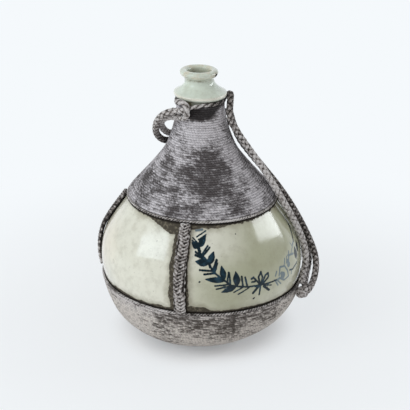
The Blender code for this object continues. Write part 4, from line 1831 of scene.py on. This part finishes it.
    def columns(self) -> Array:
        """Spaces the columns close together over the painted front and wider elsewhere.

        Returns:
            Azimuths in degrees, the least first.
        """
        parts = [np.arange(*run) for run in self.column_runs]
        coarse = [azimuth for side, azimuth in STRAPS.items() if side != "front"]
        parts.append(np.add.outer(coarse, self.strap_columns).ravel() % 360)
        return np.unique(np.round(np.concatenate(parts), 2))

    def beside_jacket(
        self,
        azimuths: Array,
        heights: Array,
        hem_reaches: tuple,
        strap_reaches: Span,
        uneven: Array | float = 0.0,
    ) -> Array:
        """Measures how far each place lies outside a reach about the jacket's edges.

        Between the jacket and the lip every place counts as far, and on the lip the distance is
        from its chip.

        Args:
            azimuths: Degrees of the places, from -180 to 180.
            heights: Upright heights of the places.
            hem_reaches: Reach below the upper hem and above the lower one.
            strap_reaches: Reach on the left and on the right of each strap.
            uneven: Waver of the reach.

        Returns:
            Distance in millimetres less the reach.
        """
        upper, lower = hem_reaches
        away = np.minimum((UPPER_HEM - heights) / MM - upper, (heights - LOWER_HEM) / MM - lower)
        away = away + self.ragged_hem * uneven
        for strap in STRAPS.values():
            turn = turn_from(strap, azimuths) * math.radians(1) * self.girth_radius
            reach = np.where(turn < 0, *strap_reaches)
            away = np.minimum(away, np.abs(turn) - reach + self.ragged_strap * uneven)
        azimuth, height, radius = self.chip
        turn = (azimuths - azimuth) * math.radians(1) * self.lip_radius / MM
        chipped = np.hypot(turn, (heights / MM - height) * self.chip_flatness) - radius
        away = np.where(heights > self.jacket_top, self.far, away)
        return np.where(heights > self.lip_start, chipped, away)

    def residue(self, azimuths: Array, heights: Array) -> Array:
        """Measures the distance from the usual reach of the crusted residue, which wavers.

        Args:
            azimuths: Degrees of the places, from -180 to 180.
            heights: Upright heights of the places.

        Returns:
            Distance in millimetres less the reach.
        """
        places = np.stack([azimuths * math.radians(1) * self.girth_radius, heights / MM], axis=-1)
        uneven = sum(waver.at(places) for waver in self.ragged)
        tables = (self.upper_reach, self.lower_reach)
        hems = tuple(np.interp(azimuths, *zip(*table)) for table in tables)
        return self.beside_jacket(azimuths, heights, hems, self.strap_reach, uneven)

    def edge(self, azimuths: Array, heights: Array) -> Array:
        """Measures the distance from the jacket's own edges."""
        hems, straps = (self.edge_reach,) * 2, (self.strap_half,) * 2
        return self.beside_jacket(azimuths, heights, hems, straps)

    def soiled(self, heights: Array) -> Array:
        """Marks the browned glaze under the lip and under the collar: partly staining, partly
        painted shade under these overhangs.

        Args:
            heights: Upright heights of the places.

        Returns:
            How browned each place is, from 0 to 1.
        """
        under_lip = np.exp(-(((heights - self.throat_top()) / self.lip_soot_and_shade_reach) ** 2))
        below = BODY.collar_underside + self.collar_soot_and_shade_top - heights
        soot_and_shade = self.lip_soot_and_shade * under_lip + smooth_share(below / self.collar_soot_and_shade_fade)
        return np.where(heights > self.collar_start, soot_and_shade, 0.0)

    def paler_band(self, azimuths: Array, heights: Array) -> Array:
        """Marks the glaze that is paler: a line round the collar, and its sides.

        Args:
            azimuths: Degrees of the places, from -180 to 180.
            heights: Upright heights of the places.

        Returns:
            How much paler each place is, from 0 to 1.
        """
        (low, high), (start, fade, amount) = self.paler_span, self.paler_side
        above = heights - BODY.collar_underside - self.paler_line
        side = smooth_share((np.abs(azimuths) - start) / fade) * (heights > low) * (heights < high)
        pale = np.exp(-((above / self.paler_reach) ** 2)) + amount * side
        return np.where(heights > self.collar_start, np.clip(pale, 0, 1), 0.0)

    def build(self) -> bpy.types.Object:
        """Makes the flask and its painted and crusted fields.

        Returns:
            The piece.
        """
        profile, inside = self.profile()
        points = BODY.turned(profile, self.columns())
        risen = smooth_share((points[..., 2] - self.shift_start) / self.shift_rise)
        points[..., 0] += self.lip_shift * risen
        places = np.broadcast_arrays(turn_from(0, self.columns()), profile[:, 1:])
        inside = np.broadcast_to(inside[:, None], points.shape[:2])
        unpainted = (inside > 0.0) | (places[1] > self.jacket_top)
        wreath = Wreath()
        fields = {
            "inked": np.where(unpainted, self.far, wreath.inked(*places)),
            "faint": np.where(unpainted, self.far, wreath.thinned(*places)),
            "residue": np.where(inside > 0.5, self.far, self.residue(*places)),
            # Distance from the jacket's edges, for the painted shade line along them.
            "edge": np.where(inside > 0.5, self.far, self.edge(*places)),
            "paler_band": np.where(inside > 0.5, 0.0, self.paler_band(*places)),
            "soiled": np.where(inside > 0.5, 0.0, self.soiled(places[1])),
            "inner": inside,
        }
        poles = (points[0].mean(0), points[-1].mean(0))
        item = lay_grid("glazed_flask", points, True, None, fields, poles)
        return dress(item, GlazeFinish(), "celadon_over_stoneware", "ceramic_flask")


UPPER_SPOTS: Table = (
    (6.5, 167, 11, 0.35), (-46, 158, 14, 0.22), (-52, 138, 13, 0.2), (2, 139, 14, 0.38),
    (-17.8, 158.7, 6, 0.4), (-23.5, 145.1, 7, 0.4), (-7.5, 151.8, 7, 0.35), (8, 148.3, 8, 0.4),
    (29.8, 158.2, 7, 0.4), (31.8, 131.9, 8, 0.4), (-22, 127.7, 8, 0.35), (-74.8, 146, 6, 0.35),
    (71.5, 143.9, 6, 0.3), (-22, 202.5, 4, 0.9), (-10, 201.5, 5, 1.1), (5, 201.5, 5.5, 1.2),
    (20, 203, 4.5, 1), (32, 205.5, 4.5, 0.7), (45, 209, 5, 0.9), (62, 210, 4, 0.7),
    (0, 211, 6, 0.8), (60, 202, 6, -0.3), (26.5, 146, 5, 0.35), (-5.8, 132.8, 6, 0.35),
    (-11, 180.9, 9, -0.45), (6, 188, 12, -0.3), (54, 170, 13, -0.25), (36, 182.8, 7, -0.3),
    (-73.2, 161.9, 6, -0.3), (50.5, 137, 7, -0.3), (2.8, 190.2, 9, -0.3), (-76.2, 133, 7, -0.3),
    (150, 150, 20, 0.3), (-140, 165, 14, 0.3), (-160, 132, 12, -0.3),
)
LOWER_SPOTS: Table = (
    (-1, 44.8, 9, 0.25), (17.8, 42.7, 10, 0.3), (-22, 44.3, 8, 0.25), (46.2, 38.9, 6, 0.25),
    (-38.8, 51.4, 6, 0.2), (10.5, 28.2, 10, 0.2), (-50, 38, 22, -0.6), (0, 12, 24, -0.35),
    (60, 20, 24, -0.2), (10, 47, 24, 0.12), (150, 40, 20, 0.25), (-150, 34, 16, 0.2),
)
HEM_GAP = 1.7 * MM
UPPER_END = 208.2 * MM


def make_jacket() -> list[bpy.types.Object]:
    """Makes the two covers, the two hems and the four straps, the left one with the least painted
    shade on its side next to the glaze.

    Returns:
        The pieces.
    """
    upper_start = BODY.station_at(UPPER_HEM) + HEM_GAP
    upper_end = BODY.station_at(UPPER_END)
    lower_end = BODY.station_at(LOWER_HEM) - HEM_GAP
    pieces = [
        Cover("neck_and_shoulder_weave", "upper_cover", upper_start, upper_end, UPPER_SPOTS),
        Cover("base_weave", "lower_cover", 0.0, lower_end, LOWER_SPOTS, 0.42, True),
        Hem("upper", 124.9 * MM),
        Hem("lower", 54.0 * MM),
    ]
    for side, azimuth in STRAPS.items():
        pieces.append(Strap(side, azimuth, shade_reach=0.42 if side == "left" else 0.6))
    return [piece.build() for piece in pieces]


def main() -> None:
    """Builds every piece in order and reports each one."""
    logging.basicConfig(level=logging.INFO)
    Camera().place()
    neck_knot, hem_knot = Knots().build()
    made = [neck_knot, hem_knot]
    made += CarryingCord().build(hem_knot)
    made += [CeramicFlask().build()]
    made += make_jacket()
    made += [NeckTie().build()]
    Studio().build()
    for item in made:
        LOG.info("%s: %d faces", item.name, len(item.data.polygons))


if __name__ == "__main__":
    main()
